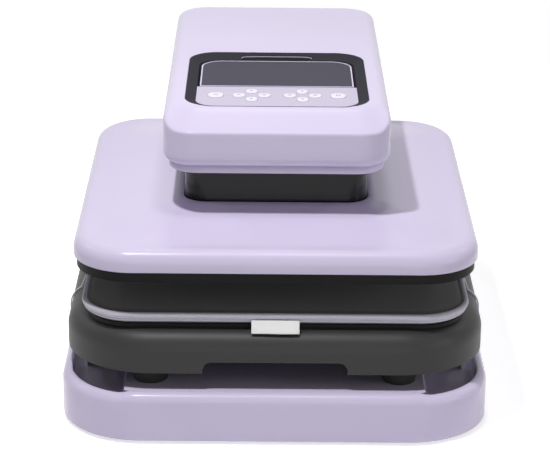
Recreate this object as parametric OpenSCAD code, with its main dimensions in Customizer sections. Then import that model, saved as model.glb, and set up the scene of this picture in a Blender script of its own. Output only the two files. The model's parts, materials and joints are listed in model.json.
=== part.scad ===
// Flat heat press with a pull-out lower drawer, built as separate pieces.
// Frame: X to the right, front faces -Y, Z up, origin at the bottom centre of the base.
// Sizes are in millimetres. The press axis is the upright line through the heat plate's centre.

/* [Base] */
// Width of the base over its side walls
base_w = 427; // [380:1:480]
// Depth of the base from front to rear
base_d = 525; // [470:1:580]
// Plan radius of the base corners
base_corner = 82; // [40:1:100]
// Radius of the base's upper edge
base_edge = 9; // [3:0.5:12]
// Gap under the base that the rubber feet leave
foot_gap = 3; // [2:0.5:8]
// Height of the rim beside the side channels
rim_z = 50; // [44:0.5:60]
// Height of the raised middle deck
deck_z = 52.5; // [46:0.5:64]
// Half width of the raised middle deck
deck_half = 148; // [120:1:160]
// Floor height of the two side channels
channel_z = 42; // [36:0.5:46]
// Width of the rim outside the channels
rim_w = 10; // [6:0.5:16]
// Wall thickness of the moulded base
base_wall = 4; // [3:0.5:6]
// Distance from the base's front to the press axis
press_setback = 220; // [200:1:240]

/* [Drawer] */
// Width of the drawer
drawer_w = 417; // [380:1:424]
// Front face of the drawer ahead of the press axis
drawer_front = 206.6; // [195:0.2:215]
// Rear face of the drawer behind the press axis
drawer_rear = 198; // [190:1:204]
// Plan radius of the drawer corners
drawer_corner = 88; // [50:1:100]
// Lower edge of the drawer
drawer_z = 70; // [66:0.5:76]
// Height of the drawer shell
drawer_h = 41; // [34:0.5:48]
// Radius of the drawer's upper edge
drawer_edge = 20; // [8:0.5:24]
// Wall thickness of the drawer
drawer_wall = 3.5; // [2.5:0.5:5]
// Width of the finger notch in the drawer's front
notch_w = 142; // [100:1:180]
// Height of the finger notch
notch_h = 12; // [8:0.5:16]
// Travel of the drawer
drawer_travel = 300; // [200:5:320]

/* [Pad] */
// Distance from the pad's edge in to the plate under it
bed_inset = 6; // [3:0.5:12]
// Thickness of the plate under the pad
bed_h = 4; // [2:0.5:6]
// Distance from the drawer's side in to the pad's edge
pad_inset = 15.5; // [14:0.5:24]
// Distance from the drawer's front in to the pad's edge
pad_lap = 13.6; // [12:0.2:20]
// Distance from the drawer's rear in to the pad's edge
pad_back = 5; // [3:0.5:12]
// Plan radius of the pad corners
pad_corner = 52; // [30:1:70]
// Pad thickness at the middle
pad_h = 14.5; // [8:0.5:18]
// Drop of the pad's top from its middle to its sides
pad_crown = 1.2; // [0.4:0.1:3]
// Width of the bound edge around the pad
binding_w = 5.5; // [3:0.5:9]

/* [Platen] */
// Side of the heat plate, a fifteen inch format
heat_side = 381; // [300:1:400]
// Thickness of the heat plate
heat_h = 14; // [10:0.5:20]
// Side of the black rim around the heat plate
rim_side = 394; // [385:1:398]
// Side of the cover
cover_side = 400; // [390:1:410]
// Plan radius of the cover corners
cover_corner = 60; // [40:1:80]
// Height of the cover at its brim
cover_h = 21.5; // [18:0.5:28]
// Rise of the cover from its brim to the neck
cover_rise = 20.5; // [14:0.5:28]
// Radius of the cover's upper edge
cover_edge = 14; // [8:0.5:16]
// Wall thickness of the cover
cover_wall = 3; // [2:0.5:4]
// Clear opening between the pad and the raised heat plate
press_opening = 30.5; // [20:0.5:45]
// Gap left over the pad at the end of the stroke
stroke_end_gap = 0.5; // [0.3:0.1:2]

/* [Neck] */
// Width of the neck
neck_w = 183; // [150:1:195]
// Depth of the neck
neck_d = 212; // [150:1:220]
// Plan radius of the neck corners
neck_corner = 22; // [10:1:40]
// Wall thickness of the neck
neck_wall = 3; // [2:0.5:5]
// Gap between the neck and the cover that slides over it
neck_gap = 1; // [0.5:0.1:3]

/* [Head] */
// Width of the head
head_w = 224; // [200:1:240]
// Front of the head ahead of the press axis
head_front = 142; // [125:1:160]
// Overhang of the head behind the column
head_over = 3; // [2:0.5:5]
// Plan radius of the head corners
head_corner = 30; // [16:1:50]
// Radius of the head's upper edge
head_edge = 12; // [4:0.5:20]
// Underside of the head's lower cover
head_z = 253; // [245:0.5:262]
// Height of the lower cover's visible lip
lip_h = 7.5; // [5:0.5:12]
// Step from the lower cover out to the shell
lip_step = 3; // [1:0.5:6]
// Height of the crease on the head's front
crease_z = 296; // [285:0.5:305]
// Top of the head
head_top = 313; // [300:0.5:330]
// Start of the sloped front ahead of the press axis
slope_start = 108; // [90:1:120]
// Wall thickness of the head shell
head_wall = 3; // [2:0.5:4]
// Radius of the crease on the head's front
crease_edge = 4; // [3:0.5:8]

/* [Console] */
// Width of the sunk console at its top edge
well_w = 183; // [160:1:195]
// Front edge of the console well ahead of the press axis
well_front = 106; // [95:1:107]
// Rear edge of the console well behind the press axis
well_rear = 95.6; // [80:0.2:110]
// Plan radius of the well's top edge
well_corner = 30; // [20:1:40]
// Width of the sloped border of the well
well_run = 10; // [6:0.5:14]
// Depth of the sloped border
well_drop = 3; // [2:0.5:6]
// Rear edge of the display behind the press axis
display_rear = 71.6; // [64:0.2:84]
// Front edge of the display ahead of the press axis
display_front = 24.5; // [20:0.1:28]
// Width of the display
display_w = 157; // [140:1:160]
// Gap between the display and the button plate
parting_gap = 2.8; // [2.6:0.1:4]
// Travel of each push button
button_travel = 0.8; // [0.4:0.1:1.2]
// Gap around each push button
button_gap = 0.3; // [0.3:0.05:0.6]

/* [Column] */
// Width of the rear column
column_w = 200; // [180:1:220]
// Depth of the column
column_d = 45; // [30:1:90]
// Gap between the platen's cover and the column
column_gap = 10; // [6:0.5:16]
// Distance from the base's rear in to the column
column_inset = 5; // [5:0.5:12]
// Plan radius of the column's rear corners
column_corner = 28; // [12:1:36]
// Wall thickness of the column cover
column_wall = 3; // [2:0.5:4]

/* [Drive] */
// Diameter of the lead screw
screw_d = 16; // [12:1:20]
// Diameter of the guide posts
post_d = 16; // [12:1:20]
// Guide post distance from the middle, sideways
post_x = 56; // [50:1:60]
// Guide post distance from the press axis, front to back
post_y = 74; // [66:1:84]
// Gear module of the drive pair
gear_module = 1.5; // [1:0.25:2]
// Teeth on the screw's gear
gear_teeth = 54; // [40:1:60]
// Teeth on the motor's pinion
pinion_teeth = 18; // [17:1:24]
// Tooth thinning that gives the gears their backlash
backlash = 0.3; // [0.2:0.05:0.5]
// Radial gap of each running fit
run_fit = 0.05; // [0.02:0.01:0.1]
// Gap between neighbouring pieces that do not touch
part_gap = 0.4; // [0.3:0.05:0.8]

/* [Hidden] */
$fn = 96;
head_facets = 48;
tiny = 0.1;
press_y = -base_d / 2 + press_setback;
column_rear = base_d - press_setback - column_inset;
head_rear = column_rear + head_over;
column_front = max(column_rear - column_d, cover_side / 2 + column_gap);
cover_rear = column_front - column_gap;
pad_w = drawer_w - 2 * pad_inset;
pad_front = -drawer_front + pad_lap;
pad_rear = drawer_rear - pad_back;
bed_z = drawer_z + drawer_h;
pad_z = bed_z + bed_h;
pad_top = pad_z + pad_h;
heat_z = pad_top + press_opening;
heat_top = heat_z + heat_h;
stroke = press_opening - stroke_end_gap;
rim_drop = 1.5;
rim_h = 10.5;
plate_rim_z = heat_z + rim_drop;
cover_z = plate_rim_z + rim_h;
cover_brim = cover_z + cover_h;
cover_top = cover_brim + cover_rise;
rim_wall = (rim_side - heat_side) / 2 - part_gap;
rim_corner = cover_corner - (cover_side - rim_side) / 2;
heat_corner = rim_corner - rim_wall - part_gap;
shell_z = head_z + lip_h;
floor_t = 2.5;
arm_z = head_z + 3;
arm_t = 6;
arm_top = arm_z + arm_t;
arm_half = 75;
arm_lip = 24;
neck_bottom = cover_top - stroke - cover_wall - 0.5;
carrier_t = 6;
element_d = 6;
carrier_z = heat_top + element_d + 1;
carrier_top = carrier_z + carrier_t;
screw_end = carrier_top + 3;
nut_z = screw_end + stroke;
nut_h = 20;
gear_z = arm_top + 3;
gear_h = 7;
gear_gap = gear_module * (gear_teeth + pinion_teeth) / 2;
motor_d = 40;
motor_h = 60;
plate_t = 3;
base_plate_z = foot_gap + 1;
base_floor = base_plate_z + plate_t;
slide_side = 5;
slide_x = (deck_half + min(base_w / 2 - rim_w, drawer_w / 2 - slide_side)) / 2;
slide_front = 125;
slide_rear = drawer_travel / 2;
foot_x = 123;
foot_ys = [-175, 150];
console_z = head_top - well_drop;
tub_depth = 10;
tub_z = console_z - tub_depth;
tub_floor = 3;
panel_t = 2.5;
hinge_back = 2;
hinge_z = console_z - 3.5;
hinge_d = 3;
lilac = [0.80, 0.77, 0.87];
charcoal = [0.24, 0.24, 0.25];
black = [0.11, 0.10, 0.12];
steel = [0.62, 0.63, 0.65];
pale = [0.93, 0.91, 0.97];
brass = [0.78, 0.62, 0.30];
socket_z = 88;
socket_x = -38;
switch_x = 38;

// Button faces: name, sideways place, distance ahead of the press axis, width, depth
end_x = 61.5;
cluster_x = 25.6;
button_row = 58.7;
petal_x = 12.8;
petal_y = 14;
BUTTONS = [
    ["button_left_end", -end_x, button_row, 15.5, 17],
    ["button_left_rear", -cluster_x, button_row - petal_y, 11.5, 13.5],
    ["button_left_front", -cluster_x, button_row + petal_y, 11.5, 13.5],
    ["button_left_outer", -cluster_x - petal_x, button_row, 12.5, 13],
    ["button_left_inner", -cluster_x + petal_x, button_row, 12.5, 13],
    ["button_right_rear", cluster_x, button_row - petal_y, 11.5, 13.5],
    ["button_right_front", cluster_x, button_row + petal_y, 11.5, 13.5],
    ["button_right_inner", cluster_x - petal_x, button_row, 12.5, 13],
    ["button_right_outer", cluster_x + petal_x, button_row, 12.5, 13],
    ["button_right_end", end_x, button_row, 15.5, 17]
];

// Shared forms

// Moves a piece that is drawn around the press axis to its place.
module at_press() {
    translate([0, press_y, 0]) children();
}

// Rounded rectangle, centred on X, from y0 to y1.
module plan(w, y0, y1, r) {
    translate([-w / 2 + r, y0]) square([w - 2 * r, y1 - y0]);
    translate([-w / 2, y0 + r]) square([w, y1 - y0 - 2 * r]);
    for (x = [-w / 2 + r, w / 2 - r])
        for (y = [y0 + r, y1 - r])
            translate([x, y]) circle(r);
}

// Upright plate with a rounded plan.
module plate(w, y0, y1, r, z0, z1) {
    translate([0, 0, z0]) linear_extrude(z1 - z0) plan(w, y0, y1, r);
}

// Half of a side view whose outer edges are rounded above and below.
module half_profile(half, h, top_r, bottom_r) {
    intersection() {
        square([half, h]);
        union() {
            square([half - bottom_r, h - top_r]);
            translate([0, bottom_r]) square([half - top_r, h - bottom_r]);
            translate([0, bottom_r]) square([half, h - top_r - bottom_r]);
            if (top_r > 0) translate([half - top_r, h - top_r]) circle(top_r);
            if (bottom_r > 0) translate([half - bottom_r, bottom_r]) circle(bottom_r);
        }
    }
}

// Whole side view, both halves.
module whole_profile(half, h, top_r, bottom_r) {
    half_profile(half, h, top_r, bottom_r);
    mirror([1, 0]) half_profile(half, h, top_r, bottom_r);
}

// Slab with a rounded plan whose upper and lower edges are rolled over with true arcs.
module soft_slab(w, y0, y1, r, z0, z1, top_r, bottom_r = 0) {
    h = z1 - z0;
    translate([0, y1 - r, z0])
        rotate([90, 0, 0])
            linear_extrude(y1 - y0 - 2 * r)
                whole_profile(w / 2, h, top_r, bottom_r);
    translate([-w / 2 + r, (y0 + y1) / 2, z0])
        rotate([90, 0, 90])
            linear_extrude(w - 2 * r)
                whole_profile((y1 - y0) / 2, h, top_r, bottom_r);
    for (x = [-w / 2 + r, w / 2 - r])
        for (y = [y0 + r, y1 - r])
            translate([x, y, z0])
                rotate_extrude()
                    half_profile(r, h, top_r, bottom_r);
}

// Half side view of a flare: narrow below and wide above.
module flare_profile(half, rise, run) {
    polygon([[0, 0], [half - run, 0], [half, rise], [half, rise + 1], [0, rise + 1]]);
}

// Funnel-shaped cutter with a rounded plan.
module flare(w, y0, y1, r, z0, rise, run) {
    translate([0, y1 - r, z0])
        rotate([90, 0, 0])
            linear_extrude(y1 - y0 - 2 * r)
                union() {
                    flare_profile(w / 2, rise, run);
                    mirror([1, 0]) flare_profile(w / 2, rise, run);
                }
    translate([-w / 2 + r, (y0 + y1) / 2, z0])
        rotate([90, 0, 90])
            linear_extrude(w - 2 * r)
                union() {
                    flare_profile((y1 - y0) / 2, rise, run);
                    mirror([1, 0]) flare_profile((y1 - y0) / 2, rise, run);
                }
    for (x = [-w / 2 + r, w / 2 - r])
        for (y = [y0 + r, y1 - r])
            translate([x, y, z0])
                rotate_extrude()
                    flare_profile(r, rise, run);
}

// Upright ring.
module ring(outer_d, inner_d, z0, z1) {
    translate([0, 0, z0])
        difference() {
            cylinder(d = outer_d, h = z1 - z0);
            translate([0, 0, -tiny]) cylinder(d = inner_d, h = z1 - z0 + 2 * tiny);
        }
}

// Places a copy at each of the four guide posts.
module at_posts() {
    for (x = [-post_x, post_x])
        for (y = [-post_y, post_y])
            translate([x, y, 0]) children();
}

// Places a copy at each of the four drawer feet.
module at_feet() {
    for (x = [-foot_x, foot_x])
        for (y = foot_ys)
            translate([x, y, 0]) children();
}

// Base

// Moulded base: rounded block with a raised middle deck, two side channels for the slides and
// bosses below for the base plate's screws.
module base_shell() {
    front = -base_d / 2;
    rear = base_d / 2;
    roof = channel_z - base_wall;
    color(lilac)
    union() {
        base_block(front, rear, roof);
        at_base_screws() ring(boss_d, screw_shank + 2 * run_fit, base_floor, roof + tiny);
    }
}

// The base without its bosses.
module base_block(front, rear, roof) {
    difference() {
        union() {
            soft_slab(base_w, front, rear, base_corner, foot_gap, rim_z, base_edge);
            intersection() {
                soft_slab(base_w, front, rear, base_corner, foot_gap, deck_z, base_edge);
                translate([-deck_half, front, foot_gap]) cube([2 * deck_half, base_d, deck_z]);
            }
        }
        translate([0, 0, channel_z])
            linear_extrude(rim_z)
                difference() {
                    plan(base_w - 2 * rim_w, front + rim_w, rear - rim_w, base_corner - rim_w);
                    translate([-deck_half, front]) square([2 * deck_half, base_d]);
                }
        plate(base_w - 2 * base_wall, front + base_wall, rear - base_wall,
              base_corner - base_wall, -tiny, roof);
        translate([-deck_half + base_wall, front + base_wall + base_edge, 0])
            cube([2 * (deck_half - base_wall), base_d - 2 * (base_wall + base_edge),
                  deck_z - base_wall]);
        at_press() column_hole(0, deck_z + tiny);
    }
}

// Clear hole for the column's steel upright.
module column_hole(z0, z1) {
    room = 1;
    translate([-arm_half - part_gap, column_front + column_back - room, z0])
        cube([2 * (arm_half + part_gap), column_depth + 2 * room, z1 - z0]);
}

screw_shank = 4;
screw_hole = screw_shank + 0.4;
screw_inset = 30;
screw_pitch = 130;
screw_head_h = 2;
screw_l = 16;
boss_d = 12;

// Steel plate that closes the base from below and carries the column.
module base_plate() {
    inset = base_wall + part_gap;
    color(steel)
    difference() {
        plate(base_w - 2 * inset, -base_d / 2 + inset, base_d / 2 - inset,
              base_corner - inset, base_plate_z, base_floor);
        at_base_screws() translate([0, 0, -tiny]) cylinder(d = screw_hole, h = deck_z);
    }
}

// Places a copy at each screw of the base plate.
module at_base_screws() {
    for (x = [-1, 1])
        for (y = [-1, 0, 1])
            translate([x * (base_w / 2 - screw_inset), y * screw_pitch, 0]) children();
}

// Four rubber feet.
module base_feet() {
    inset_x = 55;
    inset_y = 50;
    sole_d = 30;
    top_d = 34;
    color(black)
    for (x = [-1, 1])
        for (y = [-1, 1])
            translate([x * (base_w / 2 - inset_x), y * (base_d / 2 - inset_y), 0])
                cylinder(d1 = sole_d, d2 = top_d, h = base_plate_z);
}

// Pan-head screws that hold the base plate.
module base_screws() {
    color(steel)
    at_base_screws() {
        translate([0, 0, base_plate_z - screw_head_h]) {
            cylinder(d = 2 * screw_shank, h = screw_head_h);
            cylinder(d = screw_shank, h = screw_l);
        }
    }
}

// Two steel tubes that carry the pressing load under the deck.
module deck_beams() {
    beam_w = 40;
    beam_t = 3;
    beam_h = deck_z - base_wall - base_floor;
    beam_front = 200;
    beam_rear = 180;
    color(steel)
    at_press()
    for (x = [-foot_x, foot_x])
        translate([x, beam_rear, base_floor])
            rotate([90, 0, 0])
                linear_extrude(beam_front + beam_rear)
                    difference() {
                        translate([-beam_w / 2, 0]) square([beam_w, beam_h]);
                        translate([-beam_w / 2 + beam_t, beam_t])
                            square([beam_w - 2 * beam_t, beam_h - 2 * beam_t]);
                    }
}

// Drawer slides

slide_t = 2;
outer_half = 16;
mid_half = outer_half - slide_t - part_gap;
inner_half = mid_half - slide_t - part_gap;
rim_clear = 1;
mid_floor = rim_z + rim_clear;
outer_floor = mid_floor - part_gap - slide_t;
inner_floor = mid_floor + slide_t + part_gap;
outer_wall_h = 14;
mid_room = 3;

// Open channel section: half width, floor height, wall height.
module channel_section(half, z0, z1) {
    difference() {
        translate([-half, z0]) square([2 * half, z1 - z0]);
        translate([-half + slide_t, z0 + slide_t]) square([2 * (half - slide_t), z1 - z0]);
    }
}

// Runs a slide section along both sides.
module slide_pair() {
    at_press()
    for (x = [-slide_x, slide_x])
        translate([x, slide_rear, 0])
            rotate([90, 0, 0])
                linear_extrude(slide_front + slide_rear) children();
}

// Fixed channels of the telescopic slides, standing on legs so that the moving channels clear
// the base's front rim.
module slide_outer() {
    color(steel)
    slide_pair() {
        channel_section(outer_half, outer_floor, outer_floor + outer_wall_h);
        for (u = [-outer_half, outer_half - slide_t])
            translate([u, channel_z]) square([slide_t, outer_wall_h]);
    }
}

// Middle channels, which travel half as far as the drawer.
module slide_mid() {
    color(steel) slide_pair() channel_section(mid_half, mid_floor, drawer_z - mid_room);
}

// Inner channels, open below, screwed under the drawer.
module slide_inner() {
    color(steel)
    slide_pair()
        difference() {
            translate([-inner_half, inner_floor]) square([2 * inner_half, drawer_z - inner_floor]);
            translate([-inner_half + slide_t, inner_floor - slide_t])
                square([2 * (inner_half - slide_t), drawer_z - inner_floor]);
        }
}

// Column

column_web = 5;
column_back = 8;
column_air = 8;
column_depth = column_rear - column_front - column_back - column_air;

// Steel upright: a channel on a foot plate, from the base plate to the head's arm, with windows
// behind the inlet and the switch.
module column_frame() {
    window_w = 36;
    window_h = 30;
    foot_d = 20;
    foot_t = 6;
    color(steel)
    difference() {
        at_press()
        translate([0, column_front + column_back, base_floor]) {
            difference() {
                translate([-arm_half, 0, 0]) cube([2 * arm_half, column_depth, arm_z - base_floor]);
                translate([-arm_half + column_web, -tiny, -tiny])
                    cube([2 * (arm_half - column_web), column_depth - column_web + tiny, arm_z]);
            }
            translate([-arm_half, -foot_d, 0]) cube([2 * arm_half, column_depth + foot_d, foot_t]);
        }
        for (x = [socket_x, switch_x])
            at_rear(x, socket_z)
                translate([-window_w / 2, -window_h / 2, -tiny])
                    cube([window_w, window_h, column_air + column_web + 2 * tiny]);
    }
}

// Plan of the column with its rounded rear corners.
module column_plan(inset) {
    cut = 2 * column_corner;
    intersection() {
        plan(column_w - 2 * inset, column_front - cut, column_rear - inset, column_corner - inset);
        translate([-column_w, column_front]) square([2 * column_w, base_d]);
    }
}

// Places a cutter on the column's rear face.
module at_rear(x, z) {
    at_press() translate([x, column_rear, z]) rotate([90, 0, 0]) children();
}

inlet_w = 27.4;
inlet_h = 20.4;
switch_w = 27.4;
switch_h = 21.4;
panel_fit = 0.2;
cut_depth = 10;

// Moulded column cover, open to the front, with rear openings for the inlet, switch and air.
module column_cover() {
    slot_w = 70;
    slot_h = 4;
    slot_pitch = 9;
    slot_count = 7;
    slot_z = 170;
    color(lilac)
    difference() {
        at_press()
            translate([0, 0, deck_z])
                linear_extrude(head_z - deck_z)
                    difference() {
                        column_plan(0);
                        column_plan(column_wall);
                    }
        at_rear(socket_x, socket_z)
            translate([-inlet_w / 2, -inlet_h / 2, -tiny]) cube([inlet_w, inlet_h, cut_depth]);
        at_rear(switch_x, socket_z)
            translate([-switch_w / 2, -switch_h / 2, -tiny]) cube([switch_w, switch_h, cut_depth]);
        for (i = [0 : slot_count - 1])
            at_rear(0, slot_z + i * slot_pitch)
                translate([-slot_w / 2, -slot_h / 2, -tiny]) cube([slot_w, slot_h, cut_depth]);
    }
}

// Flat panel that closes the column toward the platen.
module column_front_panel() {
    inset = column_wall + part_gap;
    color(lilac)
    at_press()
    translate([-column_w / 2 + inset, column_front, deck_z])
        cube([column_w - 2 * inset, column_wall, head_z - deck_z]);
}

flange_t = 2;
flange_half = 13;
pin_t = 2;
pin_w = 4;
pin_l = 24;
pin_start = 2;

// Places a copy at each contact of the inlet; the middle one sits higher.
module at_pins() {
    pin_pitch = 7;
    earth_rise = 1;
    side_drop = -2;
    for (i = [-1 : 1])
        translate([i * pin_pitch, i == 0 ? earth_rise : side_drop, 0]) children();
}

// Appliance inlet: flange, body and an open socket.
module power_inlet() {
    body_depth = 22;
    flange_w = 48;
    flange_r = 4;
    mouth_w = 24;
    mouth_half = 8;
    mouth_r = 3;
    mouth_depth = 18;
    color(black)
    at_rear(socket_x, socket_z)
    difference() {
        union() {
            translate([0, 0, -flange_t])
                linear_extrude(flange_t) plan(flange_w, -flange_half, flange_half, flange_r);
            translate([-inlet_w / 2 + panel_fit, -inlet_h / 2 + panel_fit, -tiny])
                cube([inlet_w - 2 * panel_fit, inlet_h - 2 * panel_fit, body_depth]);
        }
        translate([0, 0, -flange_t - tiny])
            linear_extrude(mouth_depth) plan(mouth_w, -mouth_half, mouth_half, mouth_r);
        at_pins()
            translate([-pin_t / 2 - tiny, -pin_w / 2 - 2 * tiny, 0])
                cube([pin_t + 2 * tiny, pin_w + 4 * tiny, pin_start + pin_l + tiny]);
    }
}

// Three flat contacts in the inlet.
module inlet_pins() {
    color(brass)
    at_rear(socket_x, socket_z)
    at_pins() translate([-pin_t / 2, -pin_w / 2, pin_start]) cube([pin_t, pin_w, pin_l]);
}

// Frame of the mains switch.
module switch_frame() {
    flange_w = 32;
    flange_r = 3;
    body_depth = 18;
    mouth_half_h = 9;
    mouth_depth = 16;
    color(black)
    at_rear(switch_x, socket_z)
    difference() {
        union() {
            translate([0, 0, -flange_t])
                linear_extrude(flange_t) plan(flange_w, -flange_half, flange_half, flange_r);
            translate([-switch_w / 2 + panel_fit, -switch_h / 2 + panel_fit, -tiny])
                cube([switch_w - 2 * panel_fit, switch_h - 2 * panel_fit, body_depth]);
        }
        translate([-rocker_half - part_gap, -mouth_half_h, -flange_t - tiny])
            cube([2 * (rocker_half + part_gap), 2 * mouth_half_h, mouth_depth]);
        translate([0, 0, rocker_pivot])
            pivot_rod(pivot_d + 2 * run_fit, rocker_half + pivot_reach + panel_fit);
    }
}

rocker_pivot = 5;
rocker_tilt = 7;
rocker_half = 11.6;
pivot_d = 3;
pivot_reach = 1.2;

// Round rod along the rocker's axis.
module pivot_rod(d, half) {
    translate([-half, 0, 0]) rotate([0, 90, 0]) cylinder(d = d, h = 2 * half);
}

// Rocker of the mains switch on its pivot, resting with its upper end pressed in.
module power_rocker() {
    half_h = 8;
    reach = 6.4;
    dip = 4.6;
    toe = 1.5;
    root = 2;
    color(black)
    at_rear(switch_x, socket_z)
    translate([0, 0, rocker_pivot])
    rotate([-rocker_tilt, 0, 0]) {
        translate([-rocker_half, 0, 0])
            rotate([90, 0, 90])
                linear_extrude(2 * rocker_half)
                    polygon([[-half_h, -reach], [0, -dip], [half_h, -reach],
                             [half_h - toe, root], [-half_h + toe, root]]);
        pivot_rod(pivot_d, rocker_half + pivot_reach);
    }
}

// Closed supply block seated on the column's web.
module power_supply() {
    depth = (column_depth - column_web) * 2 / 3;
    width = 100;
    height = 90;
    bottom = 120;
    color(steel)
    at_press()
    translate([-width / 2, column_front + column_back + column_depth - column_web - depth, bottom])
        cube([width, depth, height]);
}

// Head

// One rounded corner post of the head, from z0 up to its own top.
module head_post(r, top, edge, z0) {
    translate([0, 0, z0]) rotate_extrude() half_profile(r, top - z0, edge, 0);
}

// Head outline, shrunk by an inset: tall posts behind, low posts in front, and a ball at each
// shoulder where the sloped front begins.
module head_form(inset, z0) {
    $fn = head_facets;
    side_x = head_w / 2 - head_corner;
    hull()
    for (side = [-1, 1]) {
        translate([side * side_x, head_rear - head_corner, 0])
            head_post(head_corner - inset, head_top - inset, head_edge - inset, z0);
        translate([side * (head_w / 2 - head_edge), -slope_start, head_top - head_edge])
            sphere(head_edge - inset);
        translate([side * side_x, -head_front + head_corner, 0])
            head_post(head_corner - inset, crease_z - inset / 2, crease_edge - inset / 2, z0);
    }
}

// Upper shell of the head with the opening for the console.
module head_upper_shell() {
    fit = 0.3;
    color(lilac)
    at_press()
    difference() {
        head_form(0, shell_z);
        head_form(head_wall, shell_z - tiny);
        plate(well_w + 2 * fit, -well_front - fit, well_rear + fit, well_corner + fit,
              tub_z - 1, head_top + 1);
    }
}

// Lower cover of the head, with openings for the neck and the column.
module head_lower_cover() {
    w = head_w - 2 * lip_step;
    front = -head_front + lip_step;
    rear = head_rear - lip_step;
    r = head_corner - lip_step;
    roll = 3;
    wall = head_wall + roll / 2;
    color(lilac)
    at_press()
    difference() {
        soft_slab(w, front, rear, r, head_z, shell_z, 0, roll);
        plate(w - 2 * wall, front + wall, rear - wall, r - head_wall,
              head_z + floor_t, shell_z + tiny);
        plate(neck_w + 2 * part_gap, -neck_d / 2 - part_gap, neck_d / 2 + part_gap,
              neck_corner + part_gap, head_z - tiny, shell_z);
        column_hole(head_z - tiny, arm_top);
    }
}

// Glossy neck that hangs from the head; the platen cover slides over it.
module neck_shroud() {
    flange_inset = 18;
    flange_h = 4;
    mouth_inset = 9;
    mouth_r = 8;
    color(black)
    at_press()
    difference() {
        plate(neck_w, -neck_d / 2, neck_d / 2, neck_corner, neck_bottom, arm_z);
        plate(neck_w - 2 * neck_wall, -neck_d / 2 + neck_wall, neck_d / 2 - neck_wall,
              neck_corner - neck_wall, neck_bottom - tiny, arm_z - flange_h);
        plate(neck_w - 2 * flange_inset, -neck_d / 2 + mouth_inset, neck_d / 2 - mouth_inset,
              mouth_r, neck_bottom, arm_z + tiny);
    }
}

// Steel arm of the head: a channel with bores for the bushes, bearing and motor shaft.
module head_frame() {
    wall = 3;
    front = -post_y - bush_d;
    rear = column_front + column_back + column_depth;
    bore_h = 2 * arm_t;
    color(steel)
    at_press()
    difference() {
        translate([-arm_half, front, arm_z]) cube([2 * arm_half, rear - front, arm_t + arm_lip]);
        translate([-arm_half + wall, front - tiny, arm_top])
            cube([2 * (arm_half - wall), rear - front + 2 * tiny, arm_lip + tiny]);
        at_posts() translate([0, 0, arm_z - tiny]) cylinder(d = bush_d + 2 * run_fit, h = bore_h);
        translate([0, 0, arm_z - tiny]) cylinder(d = bearing_d + 2 * run_fit, h = bore_h);
        translate([0, gear_gap, arm_z - tiny]) cylinder(d = 2 * shaft_d, h = bore_h);
    }
}

bush_d = 24;
bush_below = 16;
bush_flange_w = 3;
bush_flange_d = bush_d + 2 * bush_flange_w;
bush_flange_h = 2;
bearing_d = 40;
bearing_below = 6;
shaft_d = 8;

// Four flanged bushes that guide the posts.
module guide_bushes() {
    color(brass)
    at_press()
    at_posts() {
        ring(bush_d, post_d + 2 * run_fit, arm_z - bush_below, arm_top);
        ring(bush_flange_d, post_d + 2 * run_fit, arm_top, arm_top + bush_flange_h);
    }
}

// Bearing that carries the lead screw's thrust.
module screw_bearing() {
    color(steel)
    at_press()
    ring(bearing_d, screw_d + 2 * run_fit, arm_z - bearing_below, arm_top);
}

// Gear motor hung under the arm.
module gear_motor() {
    box_h = 24;
    can_step = 2;
    overlap = 4;
    shaft_hole = 8;
    color(charcoal)
    at_press()
    translate([0, gear_gap, 0])
    difference() {
        union() {
            translate([0, 0, arm_z - motor_h])
                cylinder(d = motor_d - 2 * can_step, h = motor_h - box_h + overlap);
            translate([0, 0, arm_z - box_h]) cylinder(d = motor_d, h = box_h);
        }
        translate([0, 0, arm_z - shaft_hole]) cylinder(d = shaft_d + 2 * run_fit, h = box_h);
    }
}

// Console

// Sunk charcoal border of the console with a floor that carries the board.
module console_bezel() {
    pocket_w = well_w - 2 * well_run;
    pocket_r = well_corner - well_run;
    scoop_w = 76;
    scoop_out = 7;
    scoop_r = 5;
    scoop_depth = 4;
    pin_hole = 6;
    color(charcoal)
    at_press()
    difference() {
        plate(well_w, -well_front, well_rear, well_corner, tub_z, head_top);
        flare(well_w, -well_front, well_rear, well_corner, console_z, well_drop, well_run);
        plate(pocket_w, -well_front + well_run, display_rear + parting_gap, pocket_r,
              tub_z + tub_floor, head_top);
        plate(scoop_w, display_rear - 4 * scoop_r, display_rear + scoop_out, scoop_r,
              console_z - scoop_depth, head_top);
        for (side = [-1, 1])
            translate([side * (pocket_w / 2), -display_front + hinge_back, hinge_z])
                rotate([0, side * 90, 0])
                    cylinder(d = hinge_d + 2 * run_fit, h = pin_hole);
    }
}

// Outline of the button plate: rounded in front and square at the display.
module panel_plan(inset) {
    half = well_w / 2 - well_run - part_gap - inset;
    front = -well_front + well_run + part_gap + inset;
    rear = -display_front - parting_gap - inset;
    intersection() {
        plan(2 * half, front, rear + 2 * well_corner, well_corner - well_run - part_gap);
        translate([-half, front]) square([2 * half, rear - front]);
    }
}

// One button outline.
module button_plan(b, grow) {
    w = b[3] + 2 * grow;
    d = b[4] + 2 * grow;
    translate([b[1], -b[2]]) plan(w, -d / 2, d / 2, b[3] / 2 - 1 + grow);
}

// Button plate with one hole for each button.
module button_plate() {
    color(lilac)
    at_press()
    translate([0, 0, console_z - panel_t])
        linear_extrude(panel_t)
            difference() {
                panel_plan(0);
                for (b = BUTTONS) button_plan(b, button_gap);
            }
}

button_flange = 1.2;
flange_step = 0.6;
board_t = 1.6;

// One push button with a flange that keeps it under the plate.
module push_button(i) {
    flange_top = console_z - panel_t - part_gap;
    color(pale)
    at_press() {
        translate([0, 0, flange_top])
            linear_extrude(console_z + button_travel - flange_top)
                button_plan(BUTTONS[i], 0);
        translate([0, 0, flange_top - button_flange])
            linear_extrude(button_flange)
                button_plan(BUTTONS[i], flange_step);
    }
}

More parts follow.
